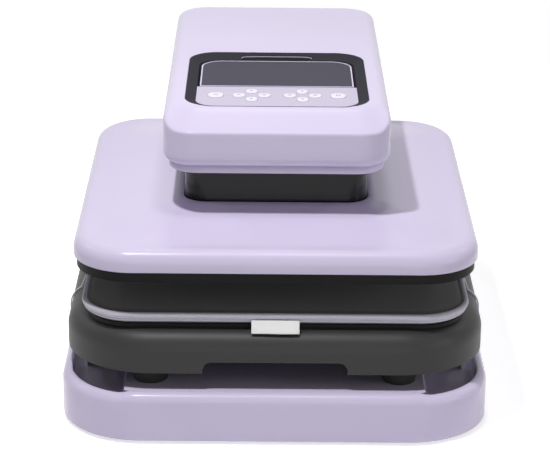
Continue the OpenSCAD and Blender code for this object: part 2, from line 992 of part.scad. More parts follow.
// Control board on the console's floor.
module control_board() {
    board_w = 140;
    board_d = 64;
    board_front = 93;
    color([0.10, 0.35, 0.22])
    at_press()
    translate([-board_w / 2, -board_front, tub_z + tub_floor]) cube([board_w, board_d, board_t]);
}

display_t = 5;
display_lip = 1.4;
display_corner = 22;
window_seat = 1.6;
window_t = 1.4;
window_fit = 0.1;

// Outline of the display: rounded at the rear and square in front.
module display_plan(inset) {
    half = display_w / 2 - inset;
    front = -display_front + inset;
    rear = display_rear - inset;
    intersection() {
        plan(2 * half, front - 3 * display_corner, rear, display_corner - inset);
        translate([-half, front]) square([2 * half, rear - front]);
    }
}

// Flip-up display frame with a hinge pin at each front corner.
module display_frame() {
    root = 4;
    reach = 4;
    gap = well_w / 2 - well_run - display_w / 2;
    color(lilac)
    at_press() {
        difference() {
            translate([0, 0, console_z - display_t]) linear_extrude(display_t) display_plan(0);
            translate([0, 0, console_z - window_seat])
                linear_extrude(display_t) display_plan(display_lip);
        }
        for (side = [-1, 1])
            translate([side * (display_w / 2 - root), -display_front + hinge_back, hinge_z])
                rotate([0, side * 90, 0])
                    cylinder(d = hinge_d, h = root + gap + reach);
    }
}

// Dark window of the display.
module display_window() {
    color([0.30, 0.29, 0.34])
    at_press()
    translate([0, 0, console_z - window_seat])
        linear_extrude(window_t)
            display_plan(display_lip + window_fit);
}

module button_left_end() { push_button(0); }
module button_left_rear() { push_button(1); }
module button_left_front() { push_button(2); }
module button_left_outer() { push_button(3); }
module button_left_inner() { push_button(4); }
module button_right_rear() { push_button(5); }
module button_right_front() { push_button(6); }
module button_right_inner() { push_button(7); }
module button_right_outer() { push_button(8); }
module button_right_end() { push_button(9); }

// Drawer

// Moulded drawer: a soft-edged shell, open below, with ribs over the slides and a finger notch.
module drawer_body() {
    rib_t = 4;
    rib_half = 7;
    beam_half = 9;
    beam_h = 14;
    socket_d = foot_top_d + 1;
    notch_depth = 12;
    notch_r = 9;
    run = slide_front + slide_rear;
    roof = drawer_z + drawer_h - drawer_wall;
    color(charcoal)
    at_press()
    difference() {
        union() {
            difference() {
                soft_slab(drawer_w, -drawer_front, drawer_rear, drawer_corner,
                          drawer_z, bed_z, drawer_edge);
                soft_slab(drawer_w - 2 * drawer_wall, -drawer_front + drawer_wall,
                          drawer_rear - drawer_wall, drawer_corner - drawer_wall,
                          drawer_z - 1, roof, drawer_edge - drawer_wall);
            }
            for (x = [-slide_x, slide_x])
                for (u = [-rib_half, rib_half])
                    translate([x + u - rib_t / 2, -slide_front, drawer_z])
                        cube([rib_t, run, roof - drawer_z - beam_h + rib_t / 2]);
            for (x = [-slide_x, slide_x])
                translate([x - beam_half, -slide_front, roof - beam_h])
                    cube([2 * beam_half, run, beam_h + tiny]);
            at_feet() translate([0, 0, drawer_z]) cylinder(d = socket_d, h = roof - drawer_z + tiny);
        }
        translate([0, -drawer_front + notch_depth, drawer_z])
            rotate([90, 0, 0])
                linear_extrude(2 * notch_depth)
                    plan(notch_w, -notch_h, notch_h, notch_r);
    }
}

// Steel plate that backs the pad.
module lower_plate() {
    color(black)
    at_press()
    plate(pad_w - 2 * bed_inset, pad_front + bed_inset, pad_rear - bed_inset,
          pad_corner - bed_inset, bed_z, pad_z);
}

// Side view of the pad's crown: a shallow parabola over the width.
module crown_profile(half) {
    steps = 12;
    polygon(concat([[half, -1], [-half, -1]],
                   [for (k = [-steps : steps]) [half * k / steps,
                       pad_h - pad_crown * (k / steps) * (k / steps)]]));
}

// Heat-proof pad with a low crown both ways; its sides are drawn in behind the binding.
module press_pad() {
    width = pad_w - 2 * binding_w;
    front = pad_front + binding_w;
    rear = pad_rear - binding_w;
    past = 2;
    color([0.22, 0.22, 0.23])
    at_press()
    intersection() {
        plate(width, front, rear, pad_corner - binding_w, pad_z, pad_top + past);
        translate([0, rear + past, pad_z])
            rotate([90, 0, 0]) linear_extrude(rear - front + 2 * past) crown_profile(width / 2 + past);
        translate([-width, (front + rear) / 2, pad_z])
            rotate([90, 0, 90]) linear_extrude(2 * width) crown_profile((rear - front) / 2 + past);
    }
}

// Rolled binding sewn around the pad.
module pad_binding() {
    inset = binding_w - tiny;
    roll_r = 5;
    low = 1.2;
    sink = 0.6;
    color([0.62, 0.61, 0.66])
    at_press()
    difference() {
        soft_slab(pad_w, pad_front, pad_rear, pad_corner,
                  pad_z + low, pad_top - pad_crown - sink, roll_r, roll_r);
        plate(pad_w - 2 * inset, pad_front + inset, pad_rear - inset, pad_corner - inset,
              pad_z, pad_top + low);
    }
}

// Blank sewn tag that hangs over the drawer's front edge.
module pad_tag() {
    tag_w = 47;
    tag_l = 13.5;
    tag_t = 0.8;
    lean = 31;
    seam_rise = 6.4;
    seam_out = 0.2;
    color([0.89, 0.89, 0.90])
    at_press()
    translate([-tag_w / 2, pad_front - seam_out, pad_z + seam_rise])
        rotate([-lean, 0, 0])
            translate([0, -tag_t, -tag_l]) cube([tag_w, tag_t, tag_l]);
}

// Elastic cords that hold the pad, one over each side of the drawer.
module pad_straps() {
    cord_d = 1.6;
    lift = 0.3;
    cord_y = -76;
    roll_x = drawer_w / 2 - drawer_edge;
    roll_z = bed_z - drawer_edge;
    roll_r = drawer_edge + lift + cord_d / 2;
    start = 62;
    start_x = roll_x + roll_r * cos(start);
    start_z = roll_z + roll_r * sin(start);
    end_x0 = pad_w / 2 + cord_d / 2 + tiny;
    end_z0 = pad_z + pad_h / 2;
    tail_z = drawer_z + 2;
    run_x = start_x - end_x0;
    run_z = start_z - end_z0;
    color(pale)
    at_press()
    for (side = [0, 1])
        mirror([side, 0, 0])
            translate([0, cord_y, 0]) {
                translate([roll_x, 0, roll_z])
                    rotate([90, 0, 0])
                        rotate_extrude(angle = start)
                            translate([roll_r, 0]) circle(d = cord_d);
                translate([roll_x + roll_r, 0, tail_z]) cylinder(d = cord_d, h = roll_z - tail_z);
                translate([end_x0, 0, end_z0])
                    rotate([0, 180 - atan2(run_x, -run_z), 0])
                        cylinder(d = cord_d, h = sqrt(run_x * run_x + run_z * run_z));
            }
}

foot_top_d = 41;

// Four tapered feet that pass the pressing load to the deck.
module drawer_feet() {
    glide_gap = 0.3;
    sole_d = 33;
    color(black)
    at_press()
    at_feet()
        translate([0, 0, deck_z + glide_gap])
            cylinder(d1 = sole_d, d2 = foot_top_d, h = drawer_z - deck_z - glide_gap);
}

// Platen

rise_inset = 16;
rise_flat = 6;
rise_sink = 1;

// Side view of a ridge that rises from its sunk foot to a flat top.
module ridge_profile(foot0, foot1, top0, top1, rise) {
    polygon([[foot0, -rise_sink], [foot1, -rise_sink], [foot1, 0], [top1, rise], [top0, rise], [foot0, 0]]);
}

// Cover's outer form, shrunk by an inset: a low slab with rolled edges and a hipped rise to the neck.
module cover_form(inset, z0) {
    half = cover_side / 2;
    foot = cover_edge + rise_inset;
    top_half = neck_w / 2 + rise_flat;
    top_depth = neck_d / 2 + rise_flat;
    reach = half + cover_rear;
    soft_slab(cover_side - 2 * inset, -half + inset, cover_rear - inset, cover_corner - inset,
              z0, cover_brim - inset, cover_edge - inset);
    translate([0, 0, cover_brim - inset])
        intersection() {
            translate([0, reach, 0])
                rotate([90, 0, 0])
                    linear_extrude(2 * reach)
                        ridge_profile(-half + foot, half - foot, -top_half, top_half, cover_rise);
            translate([-half, 0, 0])
                rotate([90, 0, 90])
                    linear_extrude(cover_side)
                        ridge_profile(-half + foot, cover_rear - foot, -top_depth, top_depth, cover_rise);
        }
}

// Cover of the platen, with the opening that slides over the neck.
module platen_cover() {
    open_w = neck_w + 2 * neck_gap;
    open_half = neck_d / 2 + neck_gap;
    color(lilac)
    at_press()
    difference() {
        cover_form(0, cover_z);
        cover_form(cover_wall, cover_z - 1);
        plate(open_w, -open_half, open_half, neck_corner + neck_gap, cover_z, cover_top + 1);
    }
}

rim_flange_z = heat_top + 0.2;
rim_flange_top = rim_flange_z + 3;
flange_over = 8;
flange_side = heat_side - 2 * flange_over;
rim_screw_d = 4;
rim_screw_hole = rim_screw_d + 0.4;
rim_screw_deep = 7;
rim_head_step = 1.5;
blind_room = 1;

// Black rim around the heat plate, with a flange over the plate's edge.
module platen_rim() {
    half = rim_side / 2;
    step = cover_side / 2 - half;
    in_half = heat_side / 2 + part_gap;
    inset = cover_wall + part_gap;
    up_half = cover_side / 2 - inset;
    fl_half = flange_side / 2;
    past = 1;
    color(black)
    at_press()
    difference() {
        union() {
            plate(2 * half, -half, cover_rear - step, rim_corner, plate_rim_z, cover_z);
            plate(2 * up_half, -up_half, cover_rear - inset, cover_corner - inset,
                  cover_z, rim_flange_top);
        }
        plate(2 * in_half, -in_half, in_half, heat_corner + part_gap, plate_rim_z - past,
              rim_flange_z);
        plate(2 * fl_half, -fl_half, fl_half, heat_corner - flange_over, plate_rim_z,
              rim_flange_top + past);
        at_platen_screws() translate([0, 0, heat_z]) cylinder(d = rim_screw_hole, h = cover_h);
    }
}

// Places a copy at each screw of the rim.
module at_platen_screws() {
    reach = heat_side / 2 - flange_over / 2 - 2 * tiny;
    spread = 110;
    for (turn = [0 : 3])
        for (u = [-spread, spread])
            rotate([0, 0, turn * 90]) translate([u, -reach, 0]) children();
}

// Coated aluminium heat plate.
module heat_plate() {
    half = heat_side / 2;
    color([0.30, 0.30, 0.31])
    at_press()
    difference() {
        plate(heat_side, -half, half, heat_corner, heat_z, heat_top);
        at_platen_screws()
            translate([0, 0, heat_top - rim_screw_deep - blind_room])
                cylinder(d = rim_screw_hole, h = heat_h);
    }
}

// Screws that hold the rim to the heat plate.
module platen_screws() {
    color(steel)
    at_press()
    at_platen_screws() {
        translate([0, 0, heat_top - rim_screw_deep])
            cylinder(d = rim_screw_d, h = rim_flange_top - heat_top + rim_screw_deep);
        translate([0, 0, rim_flange_top]) cylinder(d = rim_screw_d + 2 * rim_head_step, h = rim_screw_d / 2);
    }
}

element_pitch = 30;
element_first = 105;
element_half = 120;
element_runs = 3;

// Tubular heating element: long runs joined by half-circle bends on the heat plate.
module heating_element() {
    lift = 0.05;
    color(steel)
    at_press()
    translate([0, 0, heat_top + element_d / 2 + lift])
    for (start = [-element_first - (element_runs - 1) * element_pitch, element_first])
        for (i = [0 : element_runs - 1]) {
            y = start + i * element_pitch;
            translate([-element_half, y, 0])
                rotate([0, 90, 0]) cylinder(d = element_d, h = 2 * element_half);
            if (i < element_runs - 1)
                element_bend(i % 2 == 0 ? 1 : -1, y + element_pitch / 2);
        }
}

// Half-circle bend at one end of the element's runs.
module element_bend(side, y) {
    translate([side * element_half, y, 0])
        rotate([0, 0, side > 0 ? -90 : 90])
            rotate_extrude(angle = 180)
                translate([element_pitch / 2, 0]) circle(d = element_d);
}

// Insulation frame over the heating element, open in the middle for the neck.
module insulation_board() {
    room = 5;
    margin = 2;
    thick = 8;
    corner = 36;
    side = flange_side - 2 * margin;
    z = heat_top + element_d + part_gap;
    open_w = neck_w + 2 * room;
    open_half = neck_d / 2 + room;
    color([0.90, 0.88, 0.82])
    at_press()
    difference() {
        plate(side, -side / 2, side / 2, corner, z, z + thick);
        plate(open_w, -open_half, open_half, neck_corner + room, z - 1, z + thick + 1);
    }
}

// Steel carrier with the tower that holds the screw nut.
module carrier_plate() {
    half_w = 76;
    half_d = 94;
    corner = 10;
    screw_room = 2;
    color(steel)
    at_press()
    difference() {
        union() {
            plate(2 * half_w, -half_d, half_d, corner, carrier_z, carrier_top);
            translate([0, 0, carrier_z]) cylinder(d = tower_d, h = nut_z - carrier_z);
        }
        translate([0, 0, carrier_top + 1]) cylinder(d = screw_d + 2 * screw_room, h = nut_z);
        at_posts()
            translate([0, 0, carrier_z - tiny]) cylinder(d = post_foot_d + 2 * run_fit, h = nut_h);
    }
}

tower_d = 36;
post_foot_d = post_d - 4;

// Ceramic washers between the heat plate and the carrier.
module stand_offs() {
    washer_d = 26;
    color([0.92, 0.90, 0.85])
    at_press()
    at_posts() ring(washer_d, post_d, heat_top, carrier_z);
}

// Four guide posts with a stepped foot in the carrier.
module guide_posts() {
    over = 26;
    reach = arm_top + over;
    color(steel)
    at_press()
    at_posts() {
        translate([0, 0, carrier_top]) cylinder(d = post_d, h = reach - carrier_top);
        translate([0, 0, carrier_z]) cylinder(d = post_foot_d, h = carrier_t + tiny);
    }
}

// Flanged brass nut on the carrier's tower.
module screw_nut() {
    flange_h = 6;
    body_d = 28;
    color(brass)
    at_press() {
        ring(tower_d, screw_d + 2 * run_fit, nut_z, nut_z + flange_h);
        ring(body_d, screw_d + 2 * run_fit, nut_z + flange_h - tiny, nut_z + nut_h);
    }
}

// Drive

// Lead screw with a thrust collar under the bearing and a keyed head under the gear.
module lead_screw() {
    collar_gap = 0.3;
    collar_w = 4;
    stub = 5;
    color(steel)
    at_press() {
        translate([0, 0, screw_end]) cylinder(d = screw_d, h = gear_z - screw_end);
        translate([0, 0, arm_top + collar_gap])
            cylinder(d = screw_d + 2 * collar_w, h = gear_z - arm_top - collar_gap);
        translate([0, 0, gear_z - tiny]) cylinder(d = gear_bore, h = gear_h + stub);
    }
}

pressure_angle = 20;
gear_bore = screw_d - 4;

// Involute of an angle given by its cosine radius, in degrees.
function involute(ratio) = sqrt(max(ratio * ratio - 1, 0)) * 180 / PI - acos(min(1 / ratio, 1));

// Half tooth angle at a radius for a gear with n teeth.
function half_tooth(n, radius) =
    let (pitch_r = gear_module * n / 2)
    let (base_r = pitch_r * cos(pressure_angle))
    let (at_pitch = 90 / n - backlash / 4 / pitch_r * 180 / PI)
    at_pitch + involute(pitch_r / base_r) - involute(max(radius, base_r) / base_r);

// Radii at which each tooth flank is drawn, from the root to the tip.
function flank_radii(n) =
    let (pitch_r = gear_module * n / 2)
    let (base_r = pitch_r * cos(pressure_angle))
    let (root_r = pitch_r - 1.25 * gear_module)
    let (tip_r = pitch_r + gear_module)
    let (first = max(root_r, base_r))
    concat([root_r], [for (k = [0 : 4]) first + (tip_r - first) * k / 4 + 0.001]);

// Gear outline with involute teeth; the first tooth points along X.
function gear_points(n) =
    let (radii = flank_radii(n))
    let (count = len(radii))
    [for (t = [0 : n - 1])
        for (k = [0 : 2 * count - 1])
            let (rising = k < count)
            let (radius = rising ? radii[k] : radii[2 * count - 1 - k])
            let (angle = t * 360 / n + (rising ? -1 : 1) * half_tooth(n, radius))
            [radius * cos(angle), radius * sin(angle)]];

// Gear on the lead screw; a tooth space faces the pinion.
module drive_gear() {
    hole_count = 6;
    hole_d = 15;
    hole_reach = 25;
    color(pale)
    at_press()
    difference() {
        translate([0, 0, gear_z])
            rotate([0, 0, 90 + 180 / gear_teeth])
                linear_extrude(gear_h) polygon(gear_points(gear_teeth));
        translate([0, 0, gear_z - 1]) cylinder(d = gear_bore + 2 * run_fit, h = 2 * gear_h);
        for (turn = [0 : hole_count - 1])
            rotate([0, 0, turn * 360 / hole_count])
                translate([hole_reach, 0, gear_z - 1]) cylinder(d = hole_d, h = 2 * gear_h);
    }
}

// Motor pinion with its shaft; one tooth faces the gear.
module motor_pinion() {
    shaft_root = 6;
    color(steel)
    at_press()
    translate([0, gear_gap, 0]) {
        translate([0, 0, gear_z])
            rotate([0, 0, -90])
                linear_extrude(gear_h) polygon(gear_points(pinion_teeth));
        translate([0, 0, arm_z - shaft_root])
            cylinder(d = shaft_d, h = gear_z - arm_z + shaft_root + tiny);
    }
}

base_shell();
base_plate();
base_feet();
base_screws();
deck_beams();
slide_outer();
column_frame();
column_cover();
column_front_panel();
power_inlet();
inlet_pins();
switch_frame();
power_rocker();
power_supply();
head_frame();
guide_bushes();
screw_bearing();
gear_motor();
head_upper_shell();
head_lower_cover();
neck_shroud();
console_bezel();
button_plate();
control_board();
display_frame();
display_window();
button_left_end();
button_left_rear();
button_left_front();
button_left_outer();
button_left_inner();
button_right_rear();
button_right_front();
button_right_inner();
button_right_outer();
button_right_end();
drawer_body();
lower_plate();
press_pad();
pad_binding();
pad_tag();
pad_straps();
drawer_feet();
slide_inner();
slide_mid();
platen_cover();
platen_rim();
heat_plate();
heating_element();
insulation_board();
carrier_plate();
guide_posts();
screw_nut();
stand_offs();
platen_screws();
lead_screw();
drive_gear();
motor_pinion();
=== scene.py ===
import json
import logging
import math
from dataclasses import dataclass
from enum import Enum
from typing import Optional, Sequence

import bpy
import numpy as np
from mathutils import Matrix, Vector

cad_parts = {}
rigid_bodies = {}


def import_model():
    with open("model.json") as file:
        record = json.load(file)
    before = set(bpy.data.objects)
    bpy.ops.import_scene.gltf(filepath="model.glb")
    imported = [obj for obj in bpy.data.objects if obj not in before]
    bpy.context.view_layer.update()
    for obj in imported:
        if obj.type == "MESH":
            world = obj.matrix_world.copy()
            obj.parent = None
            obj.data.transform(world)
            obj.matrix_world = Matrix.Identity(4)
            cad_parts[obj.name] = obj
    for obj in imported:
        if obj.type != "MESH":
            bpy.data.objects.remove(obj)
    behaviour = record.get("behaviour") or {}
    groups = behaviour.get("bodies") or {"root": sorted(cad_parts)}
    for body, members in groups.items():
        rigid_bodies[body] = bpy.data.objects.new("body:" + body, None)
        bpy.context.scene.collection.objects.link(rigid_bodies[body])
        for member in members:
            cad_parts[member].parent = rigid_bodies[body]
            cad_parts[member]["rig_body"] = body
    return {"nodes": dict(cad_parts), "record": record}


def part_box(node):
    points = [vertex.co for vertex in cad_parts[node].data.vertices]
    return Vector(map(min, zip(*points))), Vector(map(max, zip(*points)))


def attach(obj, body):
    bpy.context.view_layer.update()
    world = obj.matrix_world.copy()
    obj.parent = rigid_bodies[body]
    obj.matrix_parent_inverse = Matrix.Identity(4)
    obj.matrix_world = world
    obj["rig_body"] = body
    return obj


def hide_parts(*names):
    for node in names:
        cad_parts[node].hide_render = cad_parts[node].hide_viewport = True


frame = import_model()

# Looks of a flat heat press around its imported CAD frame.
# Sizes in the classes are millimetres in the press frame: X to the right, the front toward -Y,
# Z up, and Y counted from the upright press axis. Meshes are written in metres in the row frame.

Array = np.ndarray
Contour = tuple[Array, Array]
Piece = bpy.types.Object
Node = bpy.types.Node
Socket = bpy.types.NodeSocket
Tree = bpy.types.NodeTree
Colour = tuple[float, float, float, float]

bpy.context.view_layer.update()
MM = 0.001
LOG = logging.getLogger("heat_press")


class Slot(Enum):
    """Material slots of the record that pieces take their finish from."""

    LILAC = "lilac"
    CHARCOAL = "charcoal"
    BLACK = "black"
    NECK_GLOSS = "neck_gloss"
    STEEL = "steel"
    HEAT_COAT = "heat_coat"
    RUBBER = "rubber"
    PAD_FABRIC = "pad_fabric"
    BINDING_FABRIC = "binding_fabric"
    TAG_FABRIC = "tag_fabric"
    ELASTIC = "elastic"
    BRASS = "brass"
    WINDOW = "window"
    BUTTON = "button"
    BOARD = "board"
    CERAMIC = "ceramic"
    INSULATION = "insulation"
    NYLON = "nylon"


class Body(Enum):
    """CAD bodies that the new pieces ride on."""

    BASE = "base"
    DRAWER = "drawer"
    PLATEN = "platen"


class Coordinates(Enum):
    """Where a pattern takes its coordinates from."""

    OBJECT = "Object"
    UV = "UV"


def press_axis() -> float:
    """Row-frame Y of the press axis in millimetres: the middle of the heat plate."""
    low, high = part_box("heat_plate")
    return (low.y + high.y) / 2 / MM


PRESS_Y = press_axis()


# Surfaces


def smooth_step(value: Array, low: float, high: float) -> Array:
    """Cubic step 3t^2 - 2t^3 of the value between low and high.

    Args:
        value: Numbers to step.
        low: Value at and under which the step is 0.
        high: Value at and over which the step is 1.

    Returns:
        The steps, from 0 to 1.
    """
    share = np.clip((value - low) / (high - low), 0.0, 1.0)
    return share * share * (3.0 - 2.0 * share)


@dataclass(frozen=True)
class Outline:
    """Rounded rectangle in plan, as points with outward normals.

    The points run anticlockwise from the front right corner. Each corner is an arc and each side a
    row of evenly spaced points, so outlines of any two sizes match point by point.
    """

    half: float
    front: float
    rear: float
    corner: float
    arc_steps: int = 14
    side_steps: int = 24

    def sample(self) -> Contour:
        """Works out the points: centre plus corner radius times normal on arcs, lines between them.

        Returns:
            The points and their outward normals, each an N by 2 array.
        """
        starts = np.radians([-90.0, 0.0, 90.0, 180.0])
        angles = starts[:, None] + np.linspace(0.0, np.pi / 2, self.arc_steps + 1)[None, :]
        arc_normals = np.stack([np.cos(angles), np.sin(angles)], axis=-1)
        side_x = self.half - self.corner
        front_y = self.front + self.corner
        rear_y = self.rear - self.corner
        centres = np.array([[side_x, front_y], [side_x, rear_y], [-side_x, rear_y], [-side_x, front_y]])
        arcs = centres[:, None, :] + self.corner * arc_normals
        share = np.linspace(0.0, 1.0, self.side_steps + 1)[None, 1:-1, None]
        next_start = np.roll(arcs[:, :1, :], -1, axis=0)
        sides = arcs[:, -1:, :] * (1.0 - share) + next_start * share
        side_normals = np.broadcast_to(arc_normals[:, -1:, :], sides.shape)
        points = np.concatenate([arcs, sides], axis=1).reshape(-1, 2)
        normals = np.concatenate([arc_normals, side_normals], axis=1).reshape(-1, 2)
        return points, normals


def ring(plan: Array, height: Array | float) -> Array:
    """One ring of a loft: plan points with their heights, N by 3."""
    return np.column_stack([plan, np.broadcast_to(height, len(plan))])


def quarter(count: int) -> Array:
    """Angles from 0 to a quarter turn."""
    return np.linspace(0.0, np.pi / 2, count)


def foot_roll(outline: Contour, low: float, radius: float, count: int) -> list[Array]:
    """Rings of a quarter round from an underside out and up to the wall.

    Args:
        outline: Points and normals of the wall.
        low: Height of the underside.
        radius: Radius of the round.
        count: Number of rings.

    Returns:
        The rings, inset by radius times (1 - sine) and raised by radius times (1 - cosine).
    """
    points, normals = outline
    return [ring(points - radius * (1.0 - np.sin(turn)) * normals, low + radius * (1.0 - np.cos(turn)))
            for turn in quarter(count)]


def edge_roll(outline: Contour, shoulder: Array | float, radius: float, count: int) -> list[Array]:
    """Rings of a quarter round from the wall's shoulder up and in to a top; see foot_roll."""
    points, normals = outline
    return [ring(points - radius * (1.0 - np.cos(turn)) * normals, shoulder + radius * np.sin(turn))
            for turn in quarter(count)]


def mouth_roll(outline: Contour, top: float, radius: float, count: int) -> list[Array]:
    """Rings of a quarter round from a top in and down into an opening, without the first."""
    points, normals = outline
    return [ring(points - radius * np.sin(turn) * normals, top - radius * (1.0 - np.cos(turn)))
            for turn in quarter(count)[1:]]


def quads(rows: int, columns: int, closed: bool) -> Array:
    """Quads between neighbouring rows and columns of a grid of points.

    Args:
        rows: Number of rows.
        columns: Number of points in each row.
        closed: True where the last column joins the first.

    Returns:
        Four point numbers for each quad.
    """
    row = np.arange(rows - 1)[:, None]
    column = np.arange(columns if closed else columns - 1)[None, :]
    first = row * columns + column
    second = row * columns + (column + 1) % columns
    return np.stack([first, second, second + columns, first + columns], axis=-1).reshape(-1, 4)


def mesh_object(name: str, points: Array, faces: Sequence[Sequence[int]]) -> Piece:
    """Smooth mesh object from points in the press frame.

    Args:
        name: Name of the piece.
        points: Points in millimetres, N by 3.
        faces: Point numbers of each face.

    Returns:
        The object, linked to the scene and standing at the origin.
    """
    placed = (np.asarray(points, float) + np.array([0.0, PRESS_Y, 0.0])) * MM
    mesh = bpy.data.meshes.new(name)
    mesh.from_pydata(placed.tolist(), [], [list(map(int, face)) for face in faces])
    mesh.polygons.foreach_set("use_smooth", np.ones(len(mesh.polygons), dtype=bool))
    mesh.update()
    piece = bpy.data.objects.new(name, mesh)
    bpy.context.scene.collection.objects.link(piece)
    return piece


def loft(name: str, rings: Sequence[Array], capped: bool = False) -> Piece:
    """Skin over closed rings of equal length; rings that go up or outward below face outward.

    Args:
        name: Name of the piece.
        rings: Rings of N by 3 points in millimetres.
        capped: True where the last ring is closed by one flat face.

    Returns:
        The skinned piece.
    """
    count = len(rings[0])
    faces = quads(len(rings), count, True).tolist()
    if capped:
        start = (len(rings) - 1) * count
        faces.append(list(range(start, start + count)))
    return mesh_object(name, np.concatenate(rings), faces)


def set_strip_uv(piece: Piece, rows: Array, columns: Array) -> None:
    """UV map of a closed loft in metres: along the rings and across them.

    Args:
        piece: A loft without a cap.
        rows: Length across the rings at each ring, in millimetres.
        columns: Length along the rings at each point, with the whole round as its last entry.
    """
    row_count = len(rows) - 1
    column_count = len(columns) - 1
    row = np.arange(row_count)[:, None]
    column = np.arange(column_count)[None, :]
    low = np.broadcast_to(rows[row], (row_count, column_count))
    high = np.broadcast_to(rows[row + 1], (row_count, column_count))
    left = np.broadcast_to(columns[column], (row_count, column_count))
    right = np.broadcast_to(columns[column + 1], (row_count, column_count))
    along = np.stack([left, right, right, left], axis=-1)
    across = np.stack([low, low, high, high], axis=-1)
    uv = np.stack([along, across], axis=-1).reshape(-1) * MM
    layer = piece.data.uv_layers.new(name="strip")
    layer.data.foreach_set("uv", uv.astype(np.float32))


# Shader tools


def linear(red: float, green: float, blue: float) -> Colour:
    """Linear colour of screen values from 0 to 255."""
    screen = np.array([red, green, blue]) / 255.0
    values = np.where(screen <= 0.04045, screen / 12.92, ((screen + 0.055) / 1.055) ** 2.4)
    return (float(values[0]), float(values[1]), float(values[2]), 1.0)


def toned(colour: Sequence[float], factor: float) -> Colour:
    """The colour, lighter or darker by a factor."""
    red, green, blue = (min(value * factor, 1.0) for value in colour[:3])
    return (red, green, blue, 1.0)


class Wiring:
    """Short way to add and join the nodes of one tree."""

    def __init__(self, tree: Tree) -> None:
        """Keeps the tree."""
        self.tree = tree

    def add(self, kind: str, **settings: object) -> Node:
        """Adds a node of a kind with its settings.

        Args:
            kind: Blender's name of the node type.
            settings: Properties of the node.

        Returns:
            The node.
        """
        node = self.tree.nodes.new(kind)
        for key, value in settings.items():
            setattr(node, key, value)
        return node

    def find(self, kind: str) -> Node:
        """The tree's first node of a type."""
        return next(node for node in self.tree.nodes if node.type == kind)

    def join(self, source: Socket, target: Socket) -> None:
        """Joins an output to an input."""
        self.tree.links.new(source, target)

    def feed(self, node: Node, **inputs: object) -> Node:
        """Sets inputs of a node, or joins sockets to them.

        Args:
            node: The node.
            inputs: Value or socket of each input, by its name with underscores for spaces.

        Returns:
            The node.
        """
        for label, value in inputs.items():
            target = node.inputs[label.replace("_", " ")]
            if isinstance(value, Socket):
                self.join(value, target)
            else:
                target.default_value = value
        return node

    def noise(self, vector: Socket, scale: object, detail: float = 2.0) -> Socket:
        """Noise at a vector."""
        node = self.feed(self.add("ShaderNodeTexNoise"), Vector=vector, Scale=scale, Detail=detail)
        return node.outputs[0]

    def over(self, value: Socket, low: float, gain: float) -> Socket:
        """What a value has over a low one, times a gain, and zero under it."""
        excess = self.calc("MULTIPLY", self.calc("SUBTRACT", value, low), gain)
        return self.calc("MAXIMUM", excess, 0.0)

    def calc(self, operation: str, first: object, second: object = None) -> Socket:
        """Math node on sockets or numbers.

        Args:
            operation: Blender's name of the operation.
            first: Socket or number.
            second: Socket or number, where the operation takes two.

        Returns:
            The result's socket.
        """
        node = self.add("ShaderNodeMath", operation=operation)
        for index, value in enumerate((first, second)):
            if isinstance(value, Socket):
                self.join(value, node.inputs[index])
            elif value is not None:
                node.inputs[index].default_value = value
        return node.outputs[0]

    def blend(self, factor: Socket, low: Sequence[float],
              high: Sequence[float]) -> Socket:
        """Colour between two colours by a factor.

        Args:
            factor: Socket from 0 to 1.
            low: Colour at 0.
            high: Colour at 1.

        Returns:
            The colour's socket.
        """
        node = self.add("ShaderNodeMix", data_type="RGBA")
        self.join(factor, node.inputs[0])
        node.inputs[6].default_value = low
        node.inputs[7].default_value = high
        return node.outputs[2]

    def spread(self, value: Socket, low: float, high: float) -> Socket:
        """A value from 0 to 1, spread from low to high."""
        node = self.add("ShaderNodeMapRange")
        self.join(value, node.inputs[0])
        node.inputs[3].default_value = low
        node.inputs[4].default_value = high
        return node.outputs[0]


def new_group(name: str, inputs: Sequence[tuple[str, str, object]],
              outputs: Sequence[str]) -> tuple[Tree, Wiring, Node, Node]:
    """Empty shader node group with named sockets.

    Args:
        name: Name of the group.
        inputs: Name, socket type and default of each input.
        outputs: Names of the value outputs.

    Returns:
        The group, its wiring, its input node and its output node.
    """
    group = bpy.data.node_groups.new(name, "ShaderNodeTree")
    for label, kind, default in inputs:
        socket = group.interface.new_socket(name=label, in_out="INPUT", socket_type=kind)
        if default is not None:
            socket.default_value = default
    for label in outputs:
        group.interface.new_socket(name=label, in_out="OUTPUT", socket_type="NodeSocketFloat")
    wiring = Wiring(group)
    return group, wiring, wiring.add("NodeGroupInput"), wiring.add("NodeGroupOutput")


